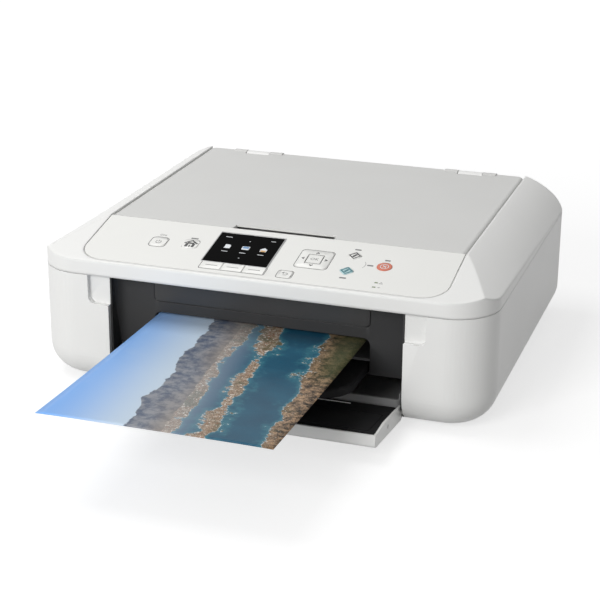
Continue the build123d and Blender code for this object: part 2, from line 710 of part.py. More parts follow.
# Feed motor on the left side frame, absorber, power supply, logic board, inlet and data port
with BuildPart() as feed_motor:
    bar_x((-side_frame_x + 0.05, -side_frame_x + 30), -20, 45, 14)
with BuildPart() as ink_absorber:
    block((wall_x + 0.3, 193), (20, 95), (floor_top, 26))
with BuildPart() as power_supply:
    with BuildSketch(Plane.XY.offset(floor_top)) as outline:
        with Locations((-175, 118)):
            RectangleRounded(42, 96, 4)
    extrude(outline.sketch, amount=58)
with BuildPart() as logic_board:
    block((wall_x + 4, 205), (rear_y - wall - 70, rear_y - wall - 14), (38, 39.6))
    for y in (120, 160):
        block((wall_x + 6, wall_x + 12), (y - 3, y + 3), (floor_top, 38))
    for x, y, size in ((170, 130, 14), (192, 140, 8), (166, 155, 9)):
        block((x - size / 2, x + size / 2), (y - size / 2, y + size / 2), (39.6, 41.4))
with BuildPart() as power_inlet:
    block((inlet_x - 13.8, inlet_x + 13.8), (166.2, rear_y - 0.6), (inlet_z - 9.8, inlet_z + 9.8))
    with BuildSketch(Plane.XZ.offset(-rear_y + 0.6)) as mouth:
        with Locations((inlet_x, inlet_z)):
            SlotOverall(19, 10.5)
    extrude(mouth.sketch, amount=12, mode=Mode.SUBTRACT)
    for x in (-4.2, 4.2):
        bar_y(inlet_x + x, (171, rear_y - 2.5), inlet_z, 1.2)
with BuildPart() as data_port:
    block((port_x - 6.2, port_x + 6.2), (168.2, rear_y - 0.6), (39.7, port_z + 5.9))
    block((port_x - 4.4, port_x + 4.4), (rear_y - 12, rear_y), (port_z - 4, port_z + 4), mode=Mode.SUBTRACT)
    block((port_x - 2.4, port_x + 2.4), (rear_y - 13, rear_y - 2.5), (port_z - 1.5, port_z + 1.5))

# Turn guide at the rear of the paper's way, and the deck over the electronics
with BuildPart() as turn_guide:
    with BuildSketch(Plane.YZ.offset(-120)) as profile:
        with BuildLine():
            Line((146, floor_top), (174, floor_top))
            Line((174, floor_top), (178, floor_top + 4))
            Line((178, floor_top + 4), (178, 90))
            Line((178, 90), (120, 90))
            Line((120, 90), (120, 78))
            Line((120, 78), (144, 78))
            ThreePointArc((144, 78), (168, 54), (146, 30))
            Line((146, 30), (146, floor_top))
        make_face()
    extrude(profile.sketch, amount=240)
    block((-116, 116), (152, 175), (12, 22), mode=Mode.SUBTRACT)
    block((-116, 116), (173, 179), (30, 84), mode=Mode.SUBTRACT)
with BuildPart() as inner_deck:
    deck = plan(wall + 0.3)
    add(Pos(0, 0, deck_low) * deck)
    extrude(amount=2)
    uprights = inner_deck.edges().filter_by(Axis.Z).group_by(Axis.Y)[-1]
    fillet(uprights, rear_corner - wall)
    block((-opening_half - wall - 0.4, opening_half + wall + 0.4), (front_y, -20), (100, 120), mode=Mode.SUBTRACT)
    block((-205.5, 205.5), (-146, 14), (100, 120), mode=Mode.SUBTRACT)
    for side in (-1, 1):
        pad = sorted((side * opening_half, side * (opening_half + scoop_width + wall + 0.5)))
        block(pad, (front_y, front_y + scoop_depth + wall + 0.5), (100, 120), mode=Mode.SUBTRACT)
        block(sorted((side * 204, side * 212)), (-64, 20), (100, 120), mode=Mode.SUBTRACT)
    # lugs of the scanner hinges pass here
    for side in (-1, 1):
        block((side * 72 - 16, side * 72 + 16), (160, 183), (100, 120), mode=Mode.SUBTRACT)

def on_slope(x, y, depth=0.0):
    """A plane on the control panel's surface at (x, y), sunk by depth, with its normal out of the panel."""
    surface = cover_top + panel_drop * (y - panel_back)
    lean = math.radians(slope_angle)
    origin = (x, y + math.sin(lean) * depth, surface - math.cos(lean) * depth)
    return Plane(origin=origin, x_dir=(1, 0, 0), z_dir=(0, -math.sin(lean), math.cos(lean)))


def panel_outline(grow):
    """Control panel's outline on its own plane, rounded at the front corners and grown by grow."""
    stretch = 1 / math.cos(math.radians(slope_angle))
    low, high = (panel_front - panel_back) * stretch - grow, -0.6 * stretch + grow
    with BuildSketch() as outline:
        with Locations((0, (low + high) / 2)):
            Rectangle(2 * (panel_half + grow), high - low)
        fillet(outline.vertices().group_by(Axis.Y)[0], panel_corner + grow)
    return outline.sketch


# Scanner housing: shoulders and front lip in one shell, closed below, with the bed's recess on top
bed_low = seam_z + seam_gap + housing_floor
with BuildPart() as shoulder_hollow:
    add(crown(wall))
    block((-recess_half - wall, recess_half + wall), (-300, 300), (100, 160), mode=Mode.SUBTRACT)
    block((-300, 300), (165, 300), (100, 160), mode=Mode.SUBTRACT)
with BuildPart() as front_hollow:
    add(crown(panel_thick + panel_seat))
    block((-300, 300), (panel_back - wall, 300), (100, 160), mode=Mode.SUBTRACT)
    block((-300, -panel_half + 6), (-300, 300), (100, 160), mode=Mode.SUBTRACT)
    block((panel_half - 6, 300), (-300, 300), (100, 160), mode=Mode.SUBTRACT)
with BuildPart() as scanner_housing:
    add(crown(0))
    # recess for the bed and the document cover
    block((-recess_half, recess_half), (panel_back - 0.4, rear_y - wall), (bed_z, cover_top + 10),
          mode=Mode.SUBTRACT)
    block((-recess_half, recess_half), (rear_y - wall - 1, rear_y + 5), (133.0, cover_top + 10), mode=Mode.SUBTRACT)
    # well of the scan bar
    block((-174, 174), (panel_back + 6, 158), (bed_low, cover_top), mode=Mode.SUBTRACT)
    add(shoulder_hollow.part, mode=Mode.SUBTRACT)
    add(front_hollow.part, mode=Mode.SUBTRACT)
    # clearance of the rear lower edge as the unit tips back
    with BuildSketch(Plane.YZ.offset(-half_width - 1)) as relief:
        with BuildLine():
            Polyline(
                (scanner_axis_y + 2, seam_z - 1), (rear_y + 1, seam_z - 1), (rear_y + 1, seam_z + 8.6),
                (scanner_axis_y + 2, seam_z + 0.4), close=True,
            )
        make_face()
    extrude(relief.sketch, amount=width + 2, mode=Mode.SUBTRACT)
    # pockets of the scanner hinges, their pin holes, and wells of the cover hinges
    for side in (-1, 1):
        block((side * 72 - 14, side * 72 + 14), (162.5, rear_y - 3.2), (seam_z - 1, 129.0), mode=Mode.SUBTRACT)
        bar_x((side * 72 - 18, side * 72 + 18), scanner_axis_y, scanner_axis_z, scanner_pin_radius,
              mode=Mode.SUBTRACT)
        block((side * knuckle_x - lug_span / 2, side * knuckle_x + lug_span / 2), (171.5, rear_y - wall),
              (119.5, 140), mode=Mode.SUBTRACT)
    # seat of the control panel, and the window through it for the keys, display and board
    extrude(on_slope(0, panel_back, panel_thick) * panel_outline(panel_gap), amount=panel_thick + 10,
            mode=Mode.SUBTRACT)
    with BuildSketch(on_slope(0, (window_front + window_back) / 2, panel_thick + 8)) as opening:
        Rectangle(2 * panel_half - 44, window_back - window_front)
    extrude(opening.sketch, amount=panel_thick + 10, mode=Mode.SUBTRACT)


# Keys, as (x, y, width, depth, corner) on the panel; the stop key and the starts have their own outlines
soft_y, soft_depth = -164.6, 11.0
keys = {
    "power_key": (-113.6, -133.5, 15.6, 16.4, 4.0),
    "home_key": (-81.0, -131.0, 15.6, 16.4, 4.0),
    "left_soft_key": (-46.5, soft_y, 20.4, soft_depth, 1.5),
    "middle_soft_key": (-25.0, soft_y, 20.4, soft_depth, 1.5),
    "right_soft_key": (-3.5, soft_y, 20.4, soft_depth, 1.5),
    "back_key": (27.0, -165.0, 13.6, 11.4, 2.0),
    "arrow_pad": (45.8, -133.2, 31.0, 31.6, 3.5),
    "ok_key": (45.8, -133.2, 14.0, 14.2, 0.0),
    "black_start_key": (81.2, -118.6, 15.0, 15.0, 0.0),
    "colour_start_key": (81.6, -146.6, 15.0, 15.0, 0.0),
    "stop_key": (114.0, -132.0, 14.4, 14.4, 0.0),
}
lamp_width, lamp_depth = 3.0, 1.6
lamps = {"alarm_lamp": (114.3, -160.6), "link_lamp": (114.3, -168.4)}
display = (-26.2, -130.6, 65.0, 55.2)


def key_shape(name, grow):
    """Outline of a key on the panel's plane: a rounded rectangle, a rounded diamond or a disc."""
    x, y, key_width, depth, corner = keys[name]
    with BuildSketch() as outline:
        if "start" in name:
            with Locations(Rotation(0, 0, 45)):
                side = key_width / math.sqrt(2)
                RectangleRounded(side + 2 * grow, side + 2 * grow, 2.0 + grow)
        elif name == "stop_key":
            Circle(key_width / 2 + grow)
        elif "soft" in name or name == "ok_key":
            Rectangle(key_width + 2 * grow, depth + 2 * grow)
        else:
            RectangleRounded(key_width + 2 * grow, depth + 2 * grow, corner + grow)
    return outline.sketch


# Control panel overlay with a hole for each key, the display and the lamps
with BuildPart() as control_panel:
    seat = on_slope(0, panel_back, panel_thick)
    extrude(seat * panel_outline(0), amount=panel_thick)
    for name, (x, y, key_width, depth, corner) in keys.items():
        if name != "ok_key":
            extrude(on_slope(x, y, panel_thick + 1) * key_shape(name, key_gap), amount=panel_thick + 3,
                    mode=Mode.SUBTRACT)
    with BuildSketch(on_slope(display[0], display[1], panel_thick + 1)) as screen_hole:
        Rectangle(display[2] + 0.4, display[3] + 0.4)
    extrude(screen_hole.sketch, amount=panel_thick + 3, mode=Mode.SUBTRACT)
    for x, y in lamps.values():
        with BuildSketch(on_slope(x, y, panel_thick + 1)) as lamp_hole:
            Rectangle(lamp_width + 0.4, lamp_depth + 0.4)
        extrude(lamp_hole.sketch, amount=panel_thick + 3, mode=Mode.SUBTRACT)

key_parts = {}
for name, (x, y, key_width, depth, corner) in keys.items():
    with BuildPart() as key:
        low = panel_thick + running_gap + key_flange
        extrude(on_slope(x, y, low) * key_shape(name, 0), amount=low + key_proud)
        if name != "ok_key":
            # the soft keys stand side by side, so their flanges only reach forwards and backwards
            side_flange = 0 if "soft" in name else flange_reach
            with BuildSketch(on_slope(x, y, low)) as flange:
                Rectangle(key_width + 2 * side_flange, depth + 2 * flange_reach)
            extrude(flange.sketch, amount=key_flange)
        if name == "arrow_pad":
            extrude(on_slope(x, y, low + 1) * key_shape("ok_key", ok_gap), amount=low + 3, mode=Mode.SUBTRACT)
        key.part.label = name
    key_parts[name] = key.part

# Display: black glass in a thin frame, proud of the panel
with BuildPart() as display_glass:
    with BuildSketch(on_slope(display[0], display[1], panel_thick + 2.0)) as outline:
        Rectangle(display[2], display[3])
    extrude(outline.sketch, amount=panel_thick + 2.0 + 0.7)
    top = display_glass.faces().sort_by(Axis.Z)[-1]
    chamfer(top.edges(), 0.5)
with BuildPart() as lamp_lenses:
    for x, y in lamps.values():
        with BuildSketch(on_slope(x, y, panel_thick + 1.5)) as lens:
            Rectangle(lamp_width, lamp_depth)
        extrude(lens.sketch, amount=panel_thick + 1.6)

# Panel board with a switch under each key
board_depth = panel_thick + running_gap + key_flange + 1.6
with BuildPart() as panel_board:
    board_low = board_depth + 1.6
    with BuildSketch(on_slope(0, -140.0, board_low)) as board:
        Rectangle(300, 62)
    extrude(board.sketch, amount=1.6)
    for name, (x, y, key_width, depth, corner) in keys.items():
        offsets = [(0, 0)]
        if name == "arrow_pad":
            offsets = [(0, 11), (0, -11), (11, 0), (-11, 0)]
        with BuildSketch(on_slope(x, y, board_depth + 0.1)) as domes:
            with Locations(*offsets):
                Rectangle(4.4, 4.4)
        extrude(domes.sketch, amount=0.6)
    for x, y in lamps.values():
        with BuildSketch(on_slope(x, y, board_depth + 0.1)) as chip:
            Rectangle(2, 2)
        extrude(chip.sketch, amount=board_depth - panel_thick - 1.6)

# Scan bed: frame round the glass, with the ramp under the finger scoop
with BuildPart() as bed_frame:
    block((-recess_half + 0.2, recess_half - 0.2), (panel_back + 0.3, rear_y - wall - 0.2), (bed_z, bed_z + bed_thick))
    window_y = 36.0
    with BuildSketch(Plane.XY.offset(bed_z - 1)) as window:
        with Locations((0, window_y)):
            Rectangle(glass_long - 2 * glass_ledge, glass_short - 2 * glass_ledge)
    extrude(window.sketch, amount=bed_thick + 2, mode=Mode.SUBTRACT)
    block((-glass_long / 2 - 0.2, glass_long / 2 + 0.2),
          (window_y - glass_short / 2 - 0.2, window_y + glass_short / 2 + 0.2),
          (bed_z + 1.0, bed_z + 5), mode=Mode.SUBTRACT)
    with BuildSketch(Plane.YZ.offset(-grip_half + 1)) as ramp:
        with BuildLine():
            Polyline(
                (panel_back + 0.3, bed_z + bed_thick - 0.5), (panel_back + 0.3, cover_top - 0.6),
                (panel_back + grip_depth + 6, cover_top - 6), (panel_back + grip_depth + 6, bed_z + bed_thick - 0.5),
                close=True,
            )
        make_face()
    extrude(ramp.sketch, amount=2 * grip_half - 2)
    for side in (-1, 1):
        block((side * knuckle_x - lug_span / 2 - 0.2, side * knuckle_x + lug_span / 2 + 0.2), (171, rear_y),
              (bed_z - 1, bed_z + 5), mode=Mode.SUBTRACT)
        block((side * knuckle_x - knuckle_span / 2 - 1, side * knuckle_x + knuckle_span / 2 + 1), (168, rear_y),
              (bed_z + 1.4, bed_z + 5), mode=Mode.SUBTRACT)
    # the cover's rear lower edge swings down here as the cover opens
    block((-recess_half, recess_half), (cover_axis_y - 6, rear_y), (bed_z + 2.2, bed_z + 5), mode=Mode.SUBTRACT)
with BuildPart() as scan_glass:
    block((-glass_long / 2, glass_long / 2), (window_y - glass_short / 2, window_y + glass_short / 2),
          (bed_z + 1.0, bed_z + bed_thick))

# Scan bar: a contact image sensor across the bed, on one guide rod
bar_x0 = -glass_long / 2 - 8
rod_z, rod_y = 121.6, 60.0
with BuildPart() as scan_bar:
    block((bar_x0, bar_x0 + scan_bar_width), (window_y - 112, window_y + 112), (124.6, 130.6))
    block((bar_x0 + 3, bar_x0 + scan_bar_width - 3), (window_y - 108, window_y + 108), (130.6, 131.2))
    block((bar_x0, bar_x0 + scan_bar_width), (rod_y - 7, rod_y + 7), (118.8, 124.8))
    bar_x((bar_x0 - 1, bar_x0 + scan_bar_width + 1), rod_y, rod_z, 2.0 + shaft_gap, mode=Mode.SUBTRACT)
with BuildPart() as scan_rod:
    bar_x((-173.9, 173.9), rod_y, rod_z, 2.0)

# Scanner hinges: a lug fixed to the casing's rear wall, and a pin held by the housing
with BuildPart() as scanner_hinge_lugs:
    for side in (-1, 1):
        x = side * 72
        with BuildSketch(Plane.YZ.offset(x - 9)) as lug:
            with BuildLine():
                Polyline(
                    (scanner_axis_y - 5, scanner_axis_z), (scanner_axis_y - 5, 94),
                    (rear_y - wall - 0.1, 94), (rear_y - wall - 0.1, 104),
                    (scanner_axis_y + 3.5, 108), (scanner_axis_y + 3.5, 118),
                    (scanner_axis_y + 5, scanner_axis_z), close=True,
                )
            make_face()
            with Locations((scanner_axis_y, scanner_axis_z)):
                Circle(5)
                Circle(scanner_pin_radius + shaft_gap, mode=Mode.SUBTRACT)
        extrude(lug.sketch, amount=18)
with BuildPart() as scanner_hinge_pins:
    for side in (-1, 1):
        bar_x((side * 72 - 17.5, side * 72 + 17.5), scanner_axis_y, scanner_axis_z, scanner_pin_radius)

# Cover hinge posts: a foot in the housing's well and a lug round the cover's pin
with BuildPart() as cover_hinge_posts:
    for side in (-1, 1):
        x = side * knuckle_x
        with BuildSketch(Plane.YZ.offset(x - lug_span / 2 + 0.2)) as post:
            with BuildLine():
                Polyline(
                    (171.7, 119.7), (rear_y - wall - 0.2, 119.7), (rear_y - wall - 0.2, 137), (171.7, 137),
                    close=True,
                )
            make_face()
            with Locations((cover_axis_y, cover_axis_z)):
                Circle(knuckle_radius - 0.4)
                Circle(cover_pin_radius + shaft_gap, mode=Mode.SUBTRACT)
        extrude(post.sketch, amount=lug_span - 0.4)

# Document cover: a thin shell with knuckles at the rear and a finger scoop at the front
with BuildPart() as document_cover:
    with BuildSketch(Plane.XY.offset(cover_low)) as outline:
        with Locations((0, (panel_back + cover_rear) / 2)):
            Rectangle(2 * cover_half, cover_rear - panel_back)
        fillet(outline.vertices().group_by(Axis.Y)[-1], 6)
    extrude(outline.sketch, amount=cover_top - cover_low)
    rim = document_cover.faces().sort_by(Axis.Z)[-1].edges()
    fillet(rim.group_by(Axis.Y)[-1], 3.5)
    block((-cover_half + cover_wall, cover_half - cover_wall), (panel_back + cover_wall, 166),
          (cover_low - 1, cover_top - cover_wall), mode=Mode.SUBTRACT)
    # scoop: the front edge steps back over the bed frame's ramp
    block((-grip_half - cover_wall, grip_half + cover_wall),
          (panel_back - 1, panel_back + grip_depth + cover_wall), (cover_low, cover_top))
    block((-grip_half, grip_half), (panel_back - 2, panel_back + grip_depth), (cover_low - 1, cover_top + 1),
          mode=Mode.SUBTRACT)
    block((-cover_half - 5, cover_half + 5), (panel_back - 10, panel_back), (cover_low - 1, cover_top + 1),
          mode=Mode.SUBTRACT)
    block((-grip_half, grip_half), (panel_back + grip_depth - 1, panel_back + grip_depth + 8),
          (cover_low - 1, cover_top - 1.8), mode=Mode.SUBTRACT)
    for side in (-1, 1):
        span = (side * knuckle_x - knuckle_span / 2, side * knuckle_x + knuckle_span / 2)
        bar_x(span, cover_axis_y, cover_axis_z, knuckle_radius)
        lug = (side * knuckle_x - lug_span / 2 - 0.3, side * knuckle_x + lug_span / 2 + 0.3)
        block(lug, (cover_axis_y - knuckle_radius - 0.9, 200), (cover_low - 10, cover_top + 10), mode=Mode.SUBTRACT)
        bar_x((span[0] + 3, span[1] - 3), cover_axis_y, cover_axis_z, cover_pin_radius, mode=Mode.SUBTRACT)
with BuildPart() as cover_lining:
    block((-cover_half + cover_wall + 0.2, cover_half - cover_wall - 0.2), (panel_back + 22, 165.8), (137.5, 139.5))
    for x in (-120, 0, 120):
        for y in (-30, 110):
            block((x - 4, x + 4), (y - 4, y + 4), (139.5, cover_top - cover_wall - 0.1))
with BuildPart() as document_pad:
    with BuildSketch(Plane.XY.offset(bed_z + bed_thick + 0.2)) as pad:
        with Locations((0, window_y)):
            RectangleRounded(glass_long + 8, glass_short - 2, 3)
    extrude(pad.sketch, amount=137.4 - bed_z - bed_thick - 0.2)
with BuildPart() as cover_hinge_pins:
    for side in (-1, 1):
        bar_x(
            (side * knuckle_x - knuckle_span / 2 + 3, side * knuckle_x + knuckle_span / 2 - 3),
            cover_axis_y, cover_axis_z, cover_pin_radius,
        )


def group(*parts):
    """Several separate solids that share one node."""
    return Compound([solid for part in parts for solid in part.solids()])


pieces = {
    "lower_casing": lower_casing.part,
    "feet": feet.part,
    "front_fascia": front_fascia.part,
    "badge_panel": badge_panel.part,
    "flap_shell": flap_closed.part.moved(flap_swing),
    "flap_inner_panel": inner_closed.part.moved(flap_swing),
    "output_tray": output_tray.part,
    "printed_sheet": printed_sheet.part,
    "paper_tray": paper_tray.part,
    "end_paper_guide": end_guide.part,
    "engine_base": engine_base.part,
    "feed_roller": feed_roller.part,
    "eject_roller": eject_roller.part,
    "pinch_rollers": pinch_rollers.part,
    "star_wheels": star_wheels.part,
    "drive_belts": group(drive_belt.part, carriage_belt.part),
    "carriage_frame": group(side_frames.part, carriage_rail.part),
    "drive_motors": group(carriage_motor.part, feed_motor.part),
    "encoder_strip": encoder_strip.part,
    "carriage": carriage.part,
    "print_head": print_head.part,
    "ink_tanks": ink_tanks.part,
    "purge_unit": purge_unit.part,
    "purge_caps": purge_caps.part,
    "ink_absorber": ink_absorber.part,
    "power_supply": power_supply.part,
    "logic_board": logic_board.part,
    "rear_sockets": group(power_inlet.part, data_port.part),
    "turn_guide": turn_guide.part,
    "inner_deck": inner_deck.part,
    "scanner_housing": scanner_housing.part,
    "control_panel": control_panel.part,
    "display": display_glass.part,
    "lamp_lenses": lamp_lenses.part,
    "panel_board": panel_board.part,
    "bed_frame": bed_frame.part,
    "scan_glass": scan_glass.part,
    "scan_bar": scan_bar.part,
    "scanner_hinge_lugs": scanner_hinge_lugs.part,
    "scan_rod_and_hinge_pins": group(scan_rod.part, scanner_hinge_pins.part),
    "cover_hinge_posts": cover_hinge_posts.part,
    "document_cover": document_cover.part,
    "cover_lining": cover_lining.part,
    "document_pad": document_pad.part,
    "cover_hinge_pins": cover_hinge_pins.part,
}
pieces.update(side_guides)
pieces.update(pulleys)
pieces.update(key_parts)

os.makedirs("parts", exist_ok=True)
for name, piece in pieces.items():
    placed = piece.moved(Location((0, frame_shift, 0)))
    placed.label = name
    export_step(placed, f"parts/{name}.step")
print("pieces", len(pieces), "shift", frame_shift)
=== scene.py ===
"""Blender scene of a multifunction inkjet printer with its output flap open and a printed sheet coming out.

Metres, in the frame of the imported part: +X to the right seen from the front, +Y to the rear, +Z up.
"""

import json
import logging
import math
from dataclasses import dataclass
from enum import Enum
from typing import Any, Callable

import bmesh
import bpy
import numpy as np
from mathutils import Matrix, Vector


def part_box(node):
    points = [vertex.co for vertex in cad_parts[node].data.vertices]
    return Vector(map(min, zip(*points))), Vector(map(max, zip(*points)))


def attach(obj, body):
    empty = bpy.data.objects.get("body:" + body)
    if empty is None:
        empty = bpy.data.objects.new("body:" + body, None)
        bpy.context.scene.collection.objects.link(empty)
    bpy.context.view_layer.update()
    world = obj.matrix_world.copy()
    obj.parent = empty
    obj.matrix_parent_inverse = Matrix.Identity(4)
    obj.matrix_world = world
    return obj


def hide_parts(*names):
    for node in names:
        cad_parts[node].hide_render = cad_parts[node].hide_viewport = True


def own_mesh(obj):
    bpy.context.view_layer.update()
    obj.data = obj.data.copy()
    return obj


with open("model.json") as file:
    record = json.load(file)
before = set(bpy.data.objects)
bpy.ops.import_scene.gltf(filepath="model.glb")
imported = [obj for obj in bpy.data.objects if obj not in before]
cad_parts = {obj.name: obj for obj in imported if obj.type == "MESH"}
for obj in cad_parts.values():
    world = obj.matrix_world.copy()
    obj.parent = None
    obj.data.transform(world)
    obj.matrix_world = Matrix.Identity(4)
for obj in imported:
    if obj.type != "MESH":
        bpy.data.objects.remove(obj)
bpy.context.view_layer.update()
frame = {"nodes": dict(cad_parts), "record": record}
log = logging.getLogger("printer")

Colour = tuple[float, float, float]
Point = tuple[float, float]
Place = Callable[[np.ndarray, np.ndarray, np.ndarray], np.ndarray]

MM = 0.001
DUST_COLOUR: Colour = (0.32, 0.31, 0.29)
CASING_FRONT = -0.182
ORIGIN_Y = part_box("lower_casing")[0].y - CASING_FRONT


class Body(str, Enum):
    """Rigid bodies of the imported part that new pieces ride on."""

    BASE = "base"
    SCANNER = "scanner_unit"
    COVER = "cover"


class Board:
    """Adds nodes to one tree and joins them."""

    def __init__(self, tree: bpy.types.NodeTree) -> None:
        """Args:
            tree: the node tree to work on.
        """
        self.tree = tree

    def add(self, kind: str, inputs: dict[Any, Any] | None = None, **settings: Any) -> bpy.types.Node:
        """Adds one node.

        Args:
            kind: Blender's name of the node type.
            inputs: values, or sockets to join, by input name or number.
            settings: plain properties of the node.

        Returns:
            The new node.
        """
        node = self.tree.nodes.new(kind)
        for key, value in settings.items():
            setattr(node, key, value)
        for key, value in (inputs or {}).items():
            if isinstance(value, bpy.types.NodeSocket):
                self.tree.links.new(value, node.inputs[key])
            else:
                node.inputs[key].default_value = value
        return node

    def math(self, operation: str, first: Any, second: Any = 0.0) -> bpy.types.NodeSocket:
        """Joins two values by one sum.

        Args:
            operation: Blender's name of the operation.
            first: a number or socket.
            second: a number or socket.

        Returns:
            The result's socket.
        """
        return self.add("ShaderNodeMath", {0: first, 1: second}, operation=operation).outputs[0]

    def scaled(self, value: Any, factor: Any, middle: float = 0.0) -> bpy.types.NodeSocket:
        """A value, less its middle, times a factor.

        Args:
            value: the value's socket.
            factor: a number or socket.
            middle: what is taken off first.

        Returns:
            The result's socket.
        """
        if middle:
            value = self.math("SUBTRACT", value, middle)
        return self.math("MULTIPLY", value, factor)

    def mix(self, share: Any, first: Any, second: Any) -> bpy.types.NodeSocket:
        """Mixes two colours.

        Args:
            share: how much of the second colour shows, a number or socket.
            first: a colour or socket.
            second: a colour or socket.

        Returns:
            The mixed colour's socket.
        """
        node = self.add("ShaderNodeMix", {0: share}, data_type="RGBA")
        for index, value in ((6, first), (7, second)):
            if isinstance(value, bpy.types.NodeSocket):
                self.tree.links.new(value, node.inputs[index])
            else:
                node.inputs[index].default_value = (*value[:3], 1.0)
        return node.outputs[2]

    def step(self, value: Any, low: float, high: float) -> bpy.types.NodeSocket:
        """A smooth step of a value from 0 at low to 1 at high.

        Args:
            value: the value's socket.
            low: where the step starts.
            high: where it ends.

        Returns:
            The step's socket.
        """
        node = self.add(
            "ShaderNodeMapRange", {0: value, 1: low, 2: high, 3: 0.0, 4: 1.0}, interpolation_type="SMOOTHSTEP"
        )
        return node.outputs[0]

    def noise(self, vector: Any, scale: Any, detail: float = 3.0, rough: float = 0.5) -> bpy.types.NodeSocket:
        """A noise value between 0 and 1.

        Args:
            vector: the coordinates' socket.
            scale: waves in a unit of the coordinates.
            detail: how many finer layers are added.
            rough: the weight of the finer layers.

        Returns:
            The noise value's socket.
        """
        inputs = {"Vector": vector, "Scale": scale, "Detail": detail, "Roughness": rough}
        return self.add("ShaderNodeTexNoise", inputs).outputs[0]


class Groups:
    """Shader effects that several materials share, each made once."""

    made: dict[str, bpy.types.NodeTree] = {}

    @classmethod
    def new(cls, name: str, inputs: dict[str, str], outputs: dict[str, str]) -> tuple[Board, Any, Any]:
        """Starts a group with named sockets.

        Args:
            name: the group's name.
            inputs: socket types by input name.
            outputs: socket types by output name.

        Returns:
            The group's board, its input node and its output node.
        """
        tree = bpy.data.node_groups.new(name, "ShaderNodeTree")
        for title, kind in inputs.items():
            tree.interface.new_socket(title, in_out="INPUT", socket_type=kind)
        for title, kind in outputs.items():
            tree.interface.new_socket(title, in_out="OUTPUT", socket_type=kind)
        board = Board(tree)
        cls.made[name] = tree
        return board, board.add("NodeGroupInput"), board.add("NodeGroupOutput")

    @classmethod
    def moulded(cls) -> bpy.types.NodeTree:
        """Moulded plastic: a slow drift between two colours, a fine grain, and gloss that varies with both.

        Returns:
            The node group.
        """
        if "moulded_plastic" in cls.made:
            return cls.made["moulded_plastic"]
        board, given, out = cls.new(
            "moulded_plastic",
            {
                "Colour": "NodeSocketColor", "Drift Colour": "NodeSocketColor",
                "Drift Scale": "NodeSocketFloat", "Grain Scale": "NodeSocketFloat",
                "Low Roughness": "NodeSocketFloat", "High Roughness": "NodeSocketFloat",
            },
            {"Colour": "NodeSocketColor", "Roughness": "NodeSocketFloat", "Height": "NodeSocketFloat"},
        )
        where = board.add("ShaderNodeTexCoord").outputs["Object"]
        drift = board.noise(where, given.outputs["Drift Scale"], 2.0)
        grain = board.noise(where, given.outputs["Grain Scale"], 4.0, 0.6)
        colour = board.mix(drift, given.outputs["Colour"], given.outputs["Drift Colour"])
        blend = board.math("MULTIPLY", board.math("ADD", drift, grain), 0.5)
        spread = board.math("SUBTRACT", given.outputs["High Roughness"], given.outputs["Low Roughness"])
        rough = board.math("ADD", given.outputs["Low Roughness"], board.math("MULTIPLY", spread, blend))
        board.tree.links.new(colour, out.inputs["Colour"])
        board.tree.links.new(rough, out.inputs["Roughness"])
        board.tree.links.new(grain, out.inputs["Height"])
        return board.tree

    @classmethod
    def dust(cls) -> bpy.types.NodeTree:
        """Thin dust that settles on faces turned upwards, thicker in slow patches.

        Returns:
            The node group.
        """
        if "settled_dust" in cls.made:
            return cls.made["settled_dust"]
        board, given, out = cls.new(
            "settled_dust",
            {"Colour": "NodeSocketColor", "Dust Colour": "NodeSocketColor", "Amount": "NodeSocketFloat"},
            {"Colour": "NodeSocketColor", "Mask": "NodeSocketFloat"},
        )
        where = board.add("ShaderNodeTexCoord").outputs["Object"]
        normal = board.add("ShaderNodeNewGeometry").outputs["Normal"]
        upward = board.add("ShaderNodeSeparateXYZ", {0: normal}).outputs[2]
        facing = board.step(upward, 0.35, 1.0)
        patch = board.step(board.noise(where, 34.0, 5.0, 0.65), 0.35, 0.75)
        mask = board.math("MULTIPLY", board.math("MULTIPLY", facing, patch), given.outputs["Amount"])
        colour = board.mix(mask, given.outputs["Colour"], given.outputs["Dust Colour"])
        board.tree.links.new(colour, out.inputs["Colour"])
        board.tree.links.new(mask, out.inputs["Mask"])
        return board.tree


